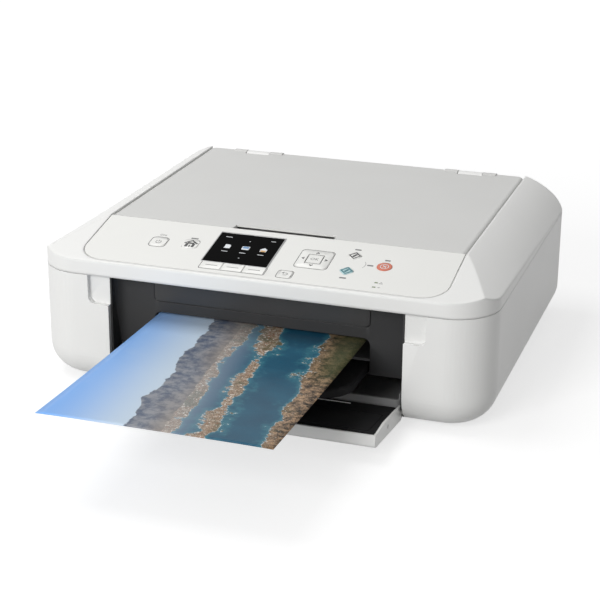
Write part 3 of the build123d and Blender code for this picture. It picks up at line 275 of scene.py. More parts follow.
@dataclass(frozen=True)
class Finish:
    """A surface finish: two close colours, its gloss, grain and edge radius, and what the shader adds."""

    name: str
    colour: Colour
    drift: Colour
    rough_low: float
    rough_high: float
    grain_size: float = 0.00035
    grain_height: float = 0.00002
    drift_size: float = 0.08
    edge_radius: float = 0.0006
    metallic: float = 0.0
    dust: float = 0.0
    transmission: float = 0.0
    sheen: float = 0.0
    specular: float = 0.5

    def material(self) -> bpy.types.Material:
        """The finish as a material, made at its first use.

        Returns:
            The material.
        """
        found = bpy.data.materials.get(self.name)
        if found:
            return found
        material = bpy.data.materials.new(self.name)
        material.use_nodes = True
        material.node_tree.nodes.clear()
        board = Board(material.node_tree)
        grain = board.add("ShaderNodeGroup", node_tree=Groups.moulded())
        for title, value in (
            ("Colour", (*self.colour, 1.0)), ("Drift Colour", (*self.drift, 1.0)),
            ("Drift Scale", 1 / self.drift_size), ("Grain Scale", 1 / self.grain_size),
            ("Low Roughness", self.rough_low), ("High Roughness", self.rough_high),
        ):
            grain.inputs[title].default_value = value
        colour = grain.outputs["Colour"]
        if self.dust:
            colour = self.settled(board, colour).outputs["Colour"]
        rounded = board.add("ShaderNodeBevel", {"Radius": self.edge_radius}, samples=6)
        bump = board.add(
            "ShaderNodeBump",
            {"Distance": self.grain_height, "Height": grain.outputs["Height"], "Normal": rounded.outputs[0]},
        )
        shader = board.add(
            "ShaderNodeBsdfPrincipled",
            {"Base Color": colour, "Roughness": grain.outputs["Roughness"], "Normal": bump.outputs[0],
             "Metallic": self.metallic, "Transmission Weight": self.transmission,
             "Sheen Weight": self.sheen, "Specular IOR Level": self.specular},
        )
        board.add("ShaderNodeOutputMaterial", {"Surface": shader.outputs[0]})
        return material

    def settled(self, board: Board, colour: bpy.types.NodeSocket) -> bpy.types.Node:
        """Dust over a colour.

        Args:
            board: the material's board.
            colour: the clean colour's socket.

        Returns:
            The dust group's node.
        """
        node = board.add("ShaderNodeGroup", node_tree=Groups.dust())
        board.tree.links.new(colour, node.inputs["Colour"])
        node.inputs["Dust Colour"].default_value = (*DUST_COLOUR, 1.0)
        node.inputs["Amount"].default_value = self.dust
        return node


WHITE = Finish("white_casing_plastic", (0.80, 0.80, 0.785), (0.775, 0.775, 0.76), 0.30, 0.42)
HOUSING = Finish(
    "white_housing_plastic", (0.80, 0.80, 0.785), (0.775, 0.775, 0.76), 0.30, 0.42, edge_radius=0.0036,
)
COVER = Finish("pale_grey_cover_plastic", (0.62, 0.62, 0.605), (0.595, 0.595, 0.58), 0.30, 0.40)
PANEL = Finish(
    "warm_grey_panel_plastic", (0.78, 0.78, 0.755), (0.755, 0.755, 0.73), 0.32, 0.42, edge_radius=0.0004,
)
LABEL_GREY = Finish("printed_grey_ink", (0.17, 0.17, 0.17), (0.20, 0.20, 0.20), 0.5, 0.6)
# Dark ink of the key signs, also used for the dark lines of painted shade in the grooves round the keys
KEY_INK_AND_GROOVE_SHADE = Finish("dark_grey_ink_and_groove_shade", (0.045, 0.045, 0.045), (0.06, 0.06, 0.06), 0.5, 0.6)
BLACK = Finish(
    "satin_black_plastic", (0.016, 0.016, 0.017), (0.021, 0.021, 0.022), 0.42, 0.56, dust=0.02, specular=0.07,
)
INNER_BLACK = Finish(
    "flap_black_plastic", (0.016, 0.016, 0.017), (0.022, 0.022, 0.023), 0.42, 0.56, dust=0.02, specular=0.02,
)
FASCIA = Finish(
    "charcoal_fascia_plastic", (0.026, 0.026, 0.027), (0.033, 0.033, 0.034), 0.40, 0.52,
    dust=0.03, specular=0.28,
)
SCREEN_BLACK = Finish(
    "display_black_glass", (0.0018, 0.0018, 0.0019), (0.0024, 0.0024, 0.0025), 0.10, 0.16,
    grain_height=0.000002, specular=0.01,
)
BADGE = Finish(
    "smooth_charcoal_plastic", (0.030, 0.030, 0.031), (0.036, 0.036, 0.037), 0.28, 0.36, specular=0.35,
)
DARK_GREY = Finish("dark_grey_plastic", (0.055, 0.055, 0.058), (0.070, 0.070, 0.073), 0.4, 0.55, dust=0.08)
MID_GREY = Finish("mid_grey_plastic", (0.13, 0.13, 0.13), (0.155, 0.155, 0.155), 0.4, 0.55, dust=0.08)
RUBBER = Finish("black_rubber", (0.022, 0.022, 0.022), (0.034, 0.034, 0.034), 0.65, 0.85, sheen=0.2)
STEEL = Finish(
    "zinc_plated_steel", (0.50, 0.50, 0.49), (0.40, 0.40, 0.40), 0.22, 0.42, drift_size=0.012, metallic=1.0,
)
SILVER_TRIM = Finish("silver_paint", (0.42, 0.42, 0.42), (0.36, 0.36, 0.36), 0.25, 0.35, metallic=0.6)
GREEN_BOARD = Finish(
    "green_circuit_board", (0.02, 0.13, 0.05), (0.03, 0.18, 0.07), 0.25, 0.4, drift_size=0.004,
)
FOAM = Finish(
    "white_foam", (0.74, 0.74, 0.72), (0.68, 0.68, 0.66), 0.7, 0.9, grain_size=0.001, grain_height=0.0001,
)
FELT = Finish(
    "grey_felt", (0.36, 0.36, 0.34), (0.28, 0.28, 0.27), 0.85, 0.95, grain_size=0.0012, grain_height=0.0003,
    sheen=0.4,
)
ORANGE = Finish("orange_red_key", (0.62, 0.17, 0.10), (0.56, 0.14, 0.08), 0.22, 0.3)
TEAL = Finish("teal_key", (0.42, 0.60, 0.62), (0.38, 0.56, 0.58), 0.22, 0.3)
DARK_TEAL = Finish("dark_teal_ink", (0.04, 0.15, 0.18), (0.05, 0.18, 0.21), 0.5, 0.6)
LAMP = Finish("lamp_lens", (0.20, 0.26, 0.14), (0.17, 0.22, 0.12), 0.15, 0.2)
FILM = Finish("encoder_film", (0.20, 0.20, 0.20), (0.12, 0.12, 0.12), 0.2, 0.3, drift_size=0.0008)
SMOKED = Finish("smoked_tank_plastic", (0.05, 0.05, 0.055), (0.07, 0.07, 0.075), 0.15, 0.25)
SCREEN_WHITE = Finish("screen_white", (0.75, 0.78, 0.80), (0.70, 0.73, 0.76), 0.3, 0.4)
SCREEN_BLUE = Finish("screen_blue", (0.16, 0.30, 0.52), (0.12, 0.25, 0.46), 0.3, 0.4)
SCREEN_AMBER = Finish("screen_amber", (0.62, 0.35, 0.10), (0.56, 0.30, 0.08), 0.3, 0.4)
GLASS = Finish(
    "clear_bed_glass", (0.80, 0.86, 0.85), (0.78, 0.85, 0.84), 0.02, 0.04, grain_height=0.0, transmission=1.0,
)

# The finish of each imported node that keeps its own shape; the paper and the foam pad are made new
NODE_FINISHES: dict[str, Finish] = {
    "lower_casing": WHITE, "feet": RUBBER, "front_fascia": FASCIA, "badge_panel": BADGE, "flap_shell": WHITE,
    "flap_inner_panel": INNER_BLACK, "output_tray": BLACK, "paper_tray": MID_GREY,
    "end_paper_guide": DARK_GREY, "left_paper_guide": DARK_GREY, "right_paper_guide": DARK_GREY,
    "engine_base": DARK_GREY, "feed_roller": RUBBER, "eject_roller": RUBBER, "pinch_rollers": MID_GREY,
    "star_wheels": STEEL, "drive_belts": RUBBER, "carriage_frame": STEEL, "drive_motors": STEEL,
    "encoder_strip": FILM, "carriage": BLACK, "print_head": DARK_GREY, "ink_tanks": SMOKED,
    "purge_unit": DARK_GREY, "purge_caps": RUBBER, "ink_absorber": FELT, "power_supply": BLACK,
    "logic_board": GREEN_BOARD, "rear_sockets": BLACK, "turn_guide": DARK_GREY, "inner_deck": DARK_GREY,
    "scanner_housing": HOUSING, "control_panel": PANEL, "display": SCREEN_BLACK, "lamp_lenses": LAMP,
    "panel_board": GREEN_BOARD, "bed_frame": WHITE, "scan_glass": GLASS, "scan_bar": BLACK,
    "scan_rod_and_hinge_pins": STEEL, "scanner_hinge_lugs": DARK_GREY, "cover_hinge_posts": WHITE,
    "document_cover": COVER, "cover_lining": WHITE, "cover_hinge_pins": STEEL, "motor_pulley": MID_GREY,
    "idler_pulley": MID_GREY, "power_key": PANEL, "home_key": PANEL, "left_soft_key": PANEL,
    "middle_soft_key": PANEL, "right_soft_key": PANEL, "back_key": PANEL, "arrow_pad": PANEL, "ok_key": PANEL,
    "black_start_key": PANEL, "colour_start_key": TEAL, "stop_key": ORANGE,
}


class MeshWork:
    """Collects closed surfaces and writes them as one mesh object."""

    def __init__(self, name: str) -> None:
        """Args:
            name: the piece's name.
        """
        self.name = name
        self.points: list[np.ndarray] = []
        self.faces: list[list[int]] = []
        self.count = 0

    def grid(self, points: np.ndarray, wrap: tuple[bool, bool] = (False, False)) -> None:
        """Adds a surface given on a grid of two parameters.

        Args:
            points: array of rows, columns and three coordinates.
            wrap: whether the rows and the columns close on themselves.
        """
        rows, columns = points.shape[:2]
        index = np.arange(rows * columns).reshape(rows, columns) + self.count
        across = np.roll(index, -1, axis=1)
        down = np.roll(index, -1, axis=0)
        corner = np.roll(down, -1, axis=1)
        quads = np.stack([index, across, corner, down], axis=-1)
        quads = quads[: None if wrap[0] else -1, : None if wrap[1] else -1]
        self.points.append(points.reshape(-1, 3))
        self.faces.extend(quads.reshape(-1, 4).tolist())
        self.count += rows * columns

    def prism(self, outline: np.ndarray, place: Place, low: float, high: float) -> None:
        """Adds a flat outline with a thickness: a top face, a bottom face and a wall between them.

        Args:
            outline: corner points in the plane, anticlockwise.
            place: puts plane coordinates and a lift into the frame.
            low: lift of the bottom face.
            high: lift of the top face.
        """
        size = len(outline)
        across, along = outline[:, 0], outline[:, 1]
        bottom = place(across, along, np.full(size, low))
        top = place(across, along, np.full(size, high))
        first = self.count
        ring = np.arange(size)
        onward = np.roll(ring, -1)
        walls = np.stack([ring, onward, onward + size, ring + size], axis=-1) + first
        self.points.append(np.concatenate([bottom, top]))
        self.faces.extend(walls.tolist())
        self.faces.append((ring[::-1] + first).tolist())
        self.faces.append((ring + size + first).tolist())
        self.count += 2 * size

    def stroke(self, path: np.ndarray, width: float, place: Place, low: float, high: float,
               closed: bool = False) -> None:
        """Adds a line with a width and thickness: a rectangle carried along a path in the plane.

        Args:
            path: points of the line's middle.
            width: the line's width.
            place: puts plane coordinates and a lift into the frame.
            low: lift of the line's underside.
            high: lift of its top.
            closed: whether the path ends where it starts.
        """
        if closed:
            ahead, behind = np.roll(path, -1, axis=0), np.roll(path, 1, axis=0)
        else:
            ahead = np.concatenate([path[1:], path[-1:]])
            behind = np.concatenate([path[:1], path[:-1]])
        onward, back = ahead - path, path - behind
        turn = self.unit(onward) + self.unit(back)
        middle = self.unit(turn)
        side = np.stack([middle[:, 1], -middle[:, 0]], axis=-1)
        lean = np.sqrt(np.clip((1 + np.sum(self.unit(onward) * self.unit(back), axis=1)) / 2, 0.25, 1.0))
        if not closed:
            lean[0] = lean[-1] = 1.0
        reach = side * (width / 2 / lean)[:, None]
        right, left = path + reach, path - reach
        size = len(path)
        lows, highs = np.full(size, low), np.full(size, high)
        section = np.stack([
            place(right[:, 0], right[:, 1], lows), place(right[:, 0], right[:, 1], highs),
            place(left[:, 0], left[:, 1], highs), place(left[:, 0], left[:, 1], lows),
        ], axis=1)
        first = self.count
        self.grid(section, (closed, True))
        if not closed:
            self.faces.append([first, first + 1, first + 2, first + 3][::-1])
            last = first + (size - 1) * 4
            self.faces.append([last, last + 1, last + 2, last + 3])

    @staticmethod
    def unit(vectors: np.ndarray) -> np.ndarray:
        """Vectors of length one, with none left where the length is none.

        Args:
            vectors: array of plane vectors.

        Returns:
            The scaled array.
        """
        length = np.linalg.norm(vectors, axis=1, keepdims=True)
        return vectors / np.maximum(length, 1e-12)

    def write(self, body: Body, finish: Finish | bpy.types.Material, slot: str) -> bpy.types.Object:
        """Makes the mesh object, dressed and riding on its body.

        Args:
            body: the body it moves with.
            finish: its finish or material.
            slot: the record's material slot; not used.

        Returns:
            The object.
        """
        mesh = bpy.data.meshes.new(self.name)
        mesh.from_pydata(np.concatenate(self.points).tolist(), [], self.faces)
        mesh.update()
        piece = bpy.data.objects.new(self.name, mesh)
        bpy.context.scene.collection.objects.link(piece)
        turn_outwards(mesh)
        mesh.materials.append(finish.material() if isinstance(finish, Finish) else finish)
        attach(piece, body.value)
        log.info("%s: %d faces on %s", self.name, len(mesh.polygons), body.value)
        return piece


def turn_outwards(mesh: bpy.types.Mesh) -> None:
    """Turns every face of a mesh of closed shells outwards.

    Args:
        mesh: the mesh to mend.
    """
    work = bmesh.new()
    work.from_mesh(mesh)
    bmesh.ops.remove_doubles(work, verts=work.verts, dist=1e-7)
    bmesh.ops.recalc_face_normals(work, faces=work.faces)
    work.to_mesh(mesh)
    work.free()


@dataclass
class CarriedNodes:
    """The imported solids, copied with joined corners and smooth shading, each in its finish."""

    sharp: float = math.radians(26)
    flat_sharp: float = math.radians(12)
    flat: tuple[str, ...] = ("scanner_housing", "lower_casing")
    merge: float = 1e-6
    plain: tuple[str, ...] = ("feet", "encoder_strip", "power_supply", "ink_absorber", "panel_board")

    def build(self) -> None:
        """Dresses every node: box-like ones as they are, the others as smooth copies."""
        bodies = frame["record"]["behaviour"]["bodies"]
        rides = {node: body for body, nodes in bodies.items() for node in nodes}
        for node, finish in NODE_FINISHES.items():
            source = frame["nodes"][node]
            if node in self.plain:
                source.data.materials.clear()
                source.data.materials.append(finish.material())
                continue
            piece = self.smooth(source, self.flat_sharp if node in self.flat else self.sharp)
            piece.data.materials.clear()
            piece.data.materials.append(finish.material())
            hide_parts(node)
            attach(piece, rides[node])
            log.info("%s: %d faces on %s", piece.name, len(piece.data.polygons), rides[node])

    def smooth(self, source: bpy.types.Object, sharp: float) -> bpy.types.Object:
        """A copy whose curved faces shade smoothly and whose flat ones stay flat.

        Args:
            source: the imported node.
            sharp: the angle in radians from which an edge stays sharp.

        Returns:
            The new object.
        """
        mesh = source.data.copy()
        work = bmesh.new()
        work.from_mesh(mesh)
        bmesh.ops.remove_doubles(work, verts=work.verts, dist=self.merge)
        work.to_mesh(mesh)
        work.free()
        mesh.shade_smooth()
        mesh.set_sharp_from_angle(angle=sharp)
        piece = bpy.data.objects.new(source.name + "_piece", mesh)
        bpy.context.scene.collection.objects.link(piece)
        weighted = piece.modifiers.new("flat_faces", "WEIGHTED_NORMAL")
        weighted.keep_sharp = True
        weighted.weight = 80
        return piece


@dataclass
class DocumentPad:
    """The white foam pad under the cover that holds a page flat on the glass."""

    bulge: float = 0.0016
    squareness: float = 0.06
    around: int = 192
    levels: int = 9

    def build(self) -> bpy.types.Object:
        """A slab on a superellipse, drawn in at height h by the bulge times 1 - sqrt(1 - 0.75 h h).

        Returns:
            The pad.
        """
        low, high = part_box("document_pad")
        middle, half = (low + high) / 2, (high - low) / 2
        turn = np.linspace(0, 2 * math.pi, self.around, endpoint=False)
        waves = (np.cos(turn), np.sin(turn))
        rim_x, rim_y = (np.sign(wave) * np.abs(wave) ** self.squareness for wave in waves)
        height = np.linspace(-1, 1, self.levels)[:, None]
        inset = self.bulge * (1 - np.sqrt(1 - 0.75 * height ** 2))
        x = middle.x + (half.x - inset) * rim_x
        y = middle.y + (half.y - inset) * rim_y
        z = middle.z + half.z * height + np.zeros(self.around)
        work = MeshWork("foam_pad")
        work.grid(np.stack([x, y, z], axis=-1), (False, True))
        rim = np.arange(self.around)
        work.faces.append(rim[::-1].tolist())
        work.faces.append((rim + (self.levels - 1) * self.around).tolist())
        piece = work.write(Body.COVER, FOAM, "foam")
        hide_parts("document_pad")
        return piece


@dataclass(frozen=True)
class CoastPicture:
    """A made-up coast seen from a height: one land height decides what is sea, surf and ground."""

    size: Point
    slant: float = 0.14
    sky_high: Colour = (0.19, 0.40, 0.80)
    sky_low: Colour = (0.52, 0.62, 0.72)
    cloud: Colour = (0.66, 0.72, 0.79)
    hill_dark: Colour = (0.085, 0.11, 0.165)
    hill_pale: Colour = (0.255, 0.265, 0.29)
    foot_dark: Colour = (0.17, 0.15, 0.13)
    foot_pale: Colour = (0.42, 0.36, 0.30)
    sea_deep: Colour = (0.006, 0.040, 0.085)
    sea_light: Colour = (0.024, 0.125, 0.195)
    sea_far: Colour = (0.045, 0.115, 0.20)
    ripple: Colour = (0.22, 0.36, 0.42)
    shallows: Colour = (0.06, 0.23, 0.27)
    surf: Colour = (0.60, 0.66, 0.68)
    haze: Colour = (0.40, 0.44, 0.48)
    pale_rock: Colour = (0.72, 0.68, 0.62)
    red_earth: Colour = (0.26, 0.10, 0.06)
    sand: tuple[Colour, Colour] = ((0.10, 0.07, 0.05), (0.70, 0.58, 0.46))
    scrub: tuple[Colour, Colour] = ((0.014, 0.020, 0.010), (0.10, 0.115, 0.05))
    rock: tuple[Colour, Colour] = ((0.035, 0.022, 0.014), (0.46, 0.31, 0.20))
    crags: tuple[Colour, Colour] = ((0.010, 0.007, 0.005), (0.52, 0.34, 0.20))
    # land height against depth in the picture: far shore, channel, sandbar, bay, near shore
    trend: tuple[Point, ...] = (
        (0.44, 0.66), (0.50, 0.55), (0.545, 0.36), (0.60, 0.47), (0.635, 0.55),
        (0.69, 0.38), (0.77, 0.22), (0.85, 0.36), (0.92, 0.60), (1.0, 0.74),
    )
    skyline_at: Point = (0.418, 0.424)
    shore_at: Point = (0.490, 0.494)
    waterline: Point = (0.462, 0.468)

    def material(self) -> bpy.types.Material:
        """The picture as a satin print on paper.

        Returns:
            The material.
        """
        material = bpy.data.materials.new("printed_picture_paper")
        material.use_nodes = True
        material.node_tree.nodes.clear()
        board = Board(material.node_tree)
        uv = board.add("ShaderNodeTexCoord").outputs["UV"]
        where = board.add("ShaderNodeMapping", {"Vector": uv, "Scale": (*self.size, 1)}).outputs[0]
        shares = board.add("ShaderNodeSeparateXYZ", {0: uv})
        down, side = shares.outputs[0], shares.outputs[1]
        depth = board.math("ADD", down, board.scaled(side, self.slant, 0.5))
        folds = board.noise(where, 95.0, 7.0, 0.7)
        patch = board.noise(where, 26.0, 5.0, 0.55)
        coast = board.noise(where, 21.0, 12.0, 0.68)
        coarse = board.step(board.noise(where, 230.0, 8.0, 0.75), 0.36, 0.64)
        skyline = board.math("ADD", depth, board.scaled(board.noise(where, 13.0, 8.0, 0.6), 0.22))
        height = board.math("ADD", self.land_trend(board, depth), board.math("SUBTRACT", coast, 0.5))
        sea = self.sea_colour(board, where, depth, height, patch)
        ground = self.ground_colour(board, where, depth, side, coast, coarse)
        scene = board.mix(board.step(height, *self.waterline), sea, ground)
        surf = board.math("SUBTRACT", board.step(height, 0.448, 0.460), board.step(height, 0.462, 0.474))
        scene = board.mix(board.math("MULTIPLY", surf, board.step(coarse, 0.2, 0.9)), scene, self.surf)
        scene = board.mix(board.scaled(board.step(depth, 0.66, 0.46), 0.34), scene, self.haze)
        far = board.mix(
            board.step(skyline, *self.skyline_at), self.sky_colour(board, where, depth),
            self.hill_colour(board, skyline, folds),
        )
        shore = board.math("ADD", depth, board.scaled(board.noise(where, 40.0, 6.0, 0.6), 0.05))
        picture = board.mix(board.step(shore, *self.shore_at), far, scene)
        rough = board.add("ShaderNodeMapRange", {0: patch, 3: 0.24, 4: 0.36}).outputs[0]
        bump = board.add("ShaderNodeBump", {"Distance": 0.000004, "Height": folds}).outputs[0]
        shader = board.add(
            "ShaderNodeBsdfPrincipled",
            {"Base Color": picture, "Roughness": rough, "Normal": bump, "Specular IOR Level": 0.12},
        )
        board.add("ShaderNodeOutputMaterial", {"Surface": shader.outputs[0]})
        return material

    def land_trend(self, board: Board, depth: Any) -> bpy.types.NodeSocket:
        """Mean land height across the picture, eased between the trend's points.

        Args:
            board: the material's board.
            depth: distance from the sky's edge, as a share of the sheet.

        Returns:
            The height's socket.
        """
        node = board.add("ShaderNodeValToRGB", {0: depth})
        ramp = node.color_ramp
        ramp.interpolation = "EASE"
        for place, _ in self.trend[1:-1]:
            ramp.elements.new(place)
        for element, (place, level) in zip(ramp.elements, self.trend):
            element.position = place
            element.color = (level, level, level, 1)
        return node.outputs[0]

    def sky_colour(self, board: Board, where: Any, depth: Any) -> bpy.types.NodeSocket:
        """Deep blue away from the horizon, pale haze near it, and thin cloud.

        Args:
            board: the material's board.
            where: metres on the sheet.
            depth: distance from the sky's edge, as a share of the sheet.

        Returns:
            The colour's socket.
        """
        clear = board.mix(board.step(depth, -0.05, 0.36), self.sky_high, self.sky_low)
        cloud = board.step(board.noise(where, 9.0, 6.0, 0.6), 0.5, 0.8)
        return board.mix(board.scaled(cloud, 0.18), clear, self.cloud)

    def hill_colour(self, board: Board, skyline: Any, folds: Any) -> bpy.types.NodeSocket:
        """Blue-grey slopes with folds, browner towards their foot.

        Args:
            board: the material's board.
            skyline: depth with the ridge's noise added.
            folds: noise that shades the slopes.

        Returns:
            The colour's socket.
        """
        slopes = board.mix(board.step(folds, 0.38, 0.62), self.hill_dark, self.hill_pale)
        foot = board.scaled(board.step(skyline, 0.47, 0.62), 0.75)
        return board.mix(foot, slopes, board.mix(folds, self.foot_dark, self.foot_pale))

    def sea_colour(self, board: Board, where: Any, depth: Any, height: Any,
                   patch: Any) -> bpy.types.NodeSocket:
        """Deep teal with slow patches and fine ripples, paler in the shallows.

        Args:
            board: the material's board.
            where: metres on the sheet.
            depth: distance from the sky's edge, as a share of the sheet.
            height: land height, below the waterline here.
            patch: slow noise.

        Returns:
            The colour's socket.
        """
        sea = board.mix(patch, self.sea_deep, self.sea_light)
        sea = board.mix(board.step(depth, 0.66, 0.50), sea, self.sea_far)
        ripple = board.step(board.noise(where, 900.0, 3.0, 0.6), 0.58, 0.8)
        sea = board.mix(board.scaled(ripple, 0.25), sea, self.ripple)
        return board.mix(board.scaled(board.step(height, 0.34, 0.455), 0.45), sea, self.shallows)

    def ground_colour(self, board: Board, where: Any, depth: Any, side: Any, coast: Any,
                      coarse: Any) -> bpy.types.NodeSocket:
        """Sand and rock in grains of two sizes, scrub by height, crags and a grove nearest the viewer.

        Args:
            board: the material's board.
            where: metres on the sheet.
            depth: distance from the sky's edge, as a share of the sheet.
            side: place along the horizon, as a share of the sheet.
            coast: the noise of the land height.
            coarse: mask of the larger grains.

        Returns:
            The colour's socket.
        """
        fine = board.step(board.noise(where, 980.0, 5.0, 0.75), 0.34, 0.66)
        scrub = board.mix(fine, *self.scrub)
        sand, rock = board.mix(fine, *self.sand), board.mix(fine, *self.rock)
        ground = board.mix(board.step(coarse, 0.45, 0.75), rock, sand)
        ground = board.mix(board.scaled(board.step(coast, 0.50, 0.60), 0.7), ground, scrub)
        cells = board.add("ShaderNodeTexVoronoi", {"Vector": where, "Scale": 760.0}, feature="F1")
        tint = board.add("ShaderNodeSeparateXYZ", {0: cells.outputs["Color"]}).outputs[0]
        ground = board.mix(board.step(tint, 0.94, 0.95), ground, self.pale_rock)
        ground = board.mix(board.step(tint, 0.975, 0.985), ground, self.red_earth)
        crag = board.step(board.noise(where, 120.0, 12.0, 0.85), 0.44, 0.60)
        shelf = board.math("ADD", depth, board.scaled(coarse, 0.10, 0.5))
        ground = board.mix(
            board.scaled(board.step(shelf, 0.84, 0.93), 0.95), ground, board.mix(crag, *self.crags),
        )
        grove = board.math("MULTIPLY", board.step(depth, 0.86, 0.98), board.step(side, 0.42, 0.62))
        return board.mix(board.scaled(grove, 0.85), ground, scrub)


@dataclass
class PrintedSheet:
    """The A4 sheet on its way out: flat in the slot, then bowed a little upwards to its front edge."""

    width: float = 0.210
    length: float = 0.297
    front: float = -0.416
    bend: float = -0.166
    level: float = 0.0746
    rise: float = 0.006
    curl: float = 0.0006
    thick: float = 0.00025
    across: int = 29
    along: int = 61
    squash_at: float = -0.150
    squash_keep: float = 0.05

    def build(self) -> bpy.types.Object:
        """Height over the arc's share t is rise times (0.28 t + 0.72 t squared), less a curl at the corners.

        Returns:
            The sheet.
        """
        rows, columns = np.linspace(0, 1, self.along), np.linspace(0, 1, self.across)
        share_y, share_x = np.meshgrid(rows, columns, indexing="ij")
        x = (share_x - 0.5) * self.width
        y = self.front + share_y * self.length
        t = np.clip((self.bend - y) / (self.bend - self.front), 0, 1)
        curl = self.curl * (2 * share_x - 1) ** 4 * t ** 2
        z = self.level + self.rise * (0.28 * t + 0.72 * t ** 2) - curl
        points = np.stack([x, y + ORIGIN_Y, z], axis=-1).reshape(-1, 3)
        index = np.arange(self.across * self.along).reshape(self.along, self.across)
        corners = [index[:-1, :-1], index[:-1, 1:], index[1:, 1:], index[1:, :-1]]
        faces = np.stack(corners, axis=-1).reshape(-1, 4)
        mesh = bpy.data.meshes.new("sheet_with_picture")
        mesh.from_pydata(points.tolist(), [], faces.tolist())
        layer = mesh.uv_layers.new(name="picture")
        shares = np.stack([share_x, share_y], axis=-1).reshape(-1, 2)
        layer.data.foreach_set("uv", shares[faces.reshape(-1)].astype(np.float32).ravel())
        mesh.shade_smooth()
        piece = bpy.data.objects.new("sheet_with_picture", mesh)
        bpy.context.scene.collection.objects.link(piece)
        wall = piece.modifiers.new("paper", "SOLIDIFY")
        wall.thickness = self.thick
        wall.offset = -1
        mesh.materials.append(CoastPicture((self.width, self.length)).material())
        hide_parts("printed_sheet")
        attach(piece, Body.BASE.value)
        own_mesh(piece)
        log.info("sheet_with_picture: %d faces on base", len(mesh.polygons))
        return piece


def arc(centre: Point, radius: float, start: float, end: float, count: int = 17) -> np.ndarray:
    """Points on a circle: the centre plus the radius times cosine and sine of an angle.

    Args:
        centre: the circle's centre.
        radius: its radius.
        start: first angle in degrees.
        end: last angle in degrees.
        count: number of points.

    Returns:
        Array of plane points.
    """
    turn = np.radians(np.linspace(start, end, count))
    return np.stack([centre[0] + radius * np.cos(turn), centre[1] + radius * np.sin(turn)], axis=-1)


def rounded(centre: Point, size: Point, radius: float) -> np.ndarray:
    """A rounded rectangle: four quarter circles, one at each corner, joined by straight runs.

    Args:
        centre: its centre.
        size: width and depth.
        radius: corner radius.

    Returns:
        Array of plane points, anticlockwise.
    """
    x, y = size[0] / 2 - radius, size[1] / 2 - radius
    corners = ((x, y, 0), (-x, y, 90), (-x, -y, 180), (x, -y, 270))
    return np.concatenate([
        arc((centre[0] + cx, centre[1] + cy), radius, start, start + 90, 7) for cx, cy, start in corners
    ])


@dataclass(frozen=True)
class Stroke:
    """One inked line: its points, its width and whether it closes, in millimetres."""

    points: Any
    width: float
    closed: bool = False


# Middles of the keys on the panel's plane, in millimetres
KEY_MIDDLES: dict[str, Point] = {
    "power_key": (-113.6, -133.5), "home_key": (-81.0, -131.0), "left_soft_key": (-46.5, -164.6),
    "middle_soft_key": (-25.0, -164.6), "right_soft_key": (-3.5, -164.6), "back_key": (27.0, -165.0),
    "arrow_pad": (45.8, -133.2), "ok_key": (45.8, -133.2), "black_start_key": (81.2, -118.6),
    "colour_start_key": (81.6, -146.6), "stop_key": (114.0, -132.0),
}


class KeySigns:
    """The sign on each key, as strokes about the key's middle."""

    @staticmethod
    def power() -> list[Stroke]:
        """A ring open at its top with a bar in the gap."""
        return [Stroke(arc((0, -0.5), 2.6, 125, 415, 25), 0.7), Stroke([(0, -0.1), (0, 2.9)], 0.7)]

    @staticmethod
    def home() -> list[Stroke]:
        """A filled house: a roof, two walls and a lintel round a narrow door.

        Returns:
            Its strokes.
        """
        return [
            Stroke([(-6.6, 0.4), (0, 5.8), (6.6, 0.4)], 1.8), Stroke([(-3.4, 0.2), (-3.4, -6.2)], 2.8),
            Stroke([(3.4, 0.2), (3.4, -6.2)], 2.8), Stroke([(-3.4, 0.8), (3.4, 0.8)], 2.6),
            Stroke([(0, -6.2), (0, -2.4)], 1.6),
        ]

    @staticmethod
    def back() -> list[Stroke]:
        """An arrow that turns back to the left.

        Returns:
            Its strokes.
        """
        shaft = [(-2.6, 1.8), (1.4, 1.8), (2.6, 0.6), (2.6, -0.6), (1.4, -1.8), (-1.4, -1.8)]
        return [Stroke(shaft, 0.6), Stroke([(-1.0, 3.4), (-2.8, 1.8), (-1.0, 0.2)], 0.6)]

    @staticmethod
    def arrows() -> list[Stroke]:
        """Four small arrowheads round a square line.

        Returns:
            Its strokes.
        """
        reach, long, half_wide = 12.2, 2.0, 1.5
        heads = []
        for way in np.array([(0, 1), (0, -1), (1, 0), (-1, 0)]):
            side = np.array([-way[1], way[0]]) * half_wide
            tip, heel = way * reach, way * (reach - long)
            heads.append(Stroke([heel + side, tip, heel - side], 1.1))
        return heads + [Stroke(rounded((0, 0), (15.6, 15.8), 0.6), 0.5, True)]

    @staticmethod
    def start() -> list[Stroke]:
        """A diamond with a slanting bar.

        Returns:
            Its strokes.
        """
        reach = 5.3
        diamond = [(0, reach), (-reach, 0), (0, -reach), (reach, 0)]
        return [Stroke(diamond, 1.3, True), Stroke([(-1.4, -2.4), (1.4, 2.4)], 2.4)]

    @staticmethod
    def stop() -> list[Stroke]:
        """A cross in a ring.

        Returns:
            Its strokes.
        """
        return [
            Stroke(arc((0, 0), 3.9, 0, 360, 33)[:-1], 0.7, True),
            Stroke([(-1.6, -1.6), (1.6, 1.6)], 0.9), Stroke([(-1.6, 1.6), (1.6, -1.6)], 0.9),
        ]

    @staticmethod
    def bar() -> list[Stroke]:
        """A short bar along one of the keys under the display."""
        return [Stroke([(-6.0, 0), (6.0, 0)], 0.7)]


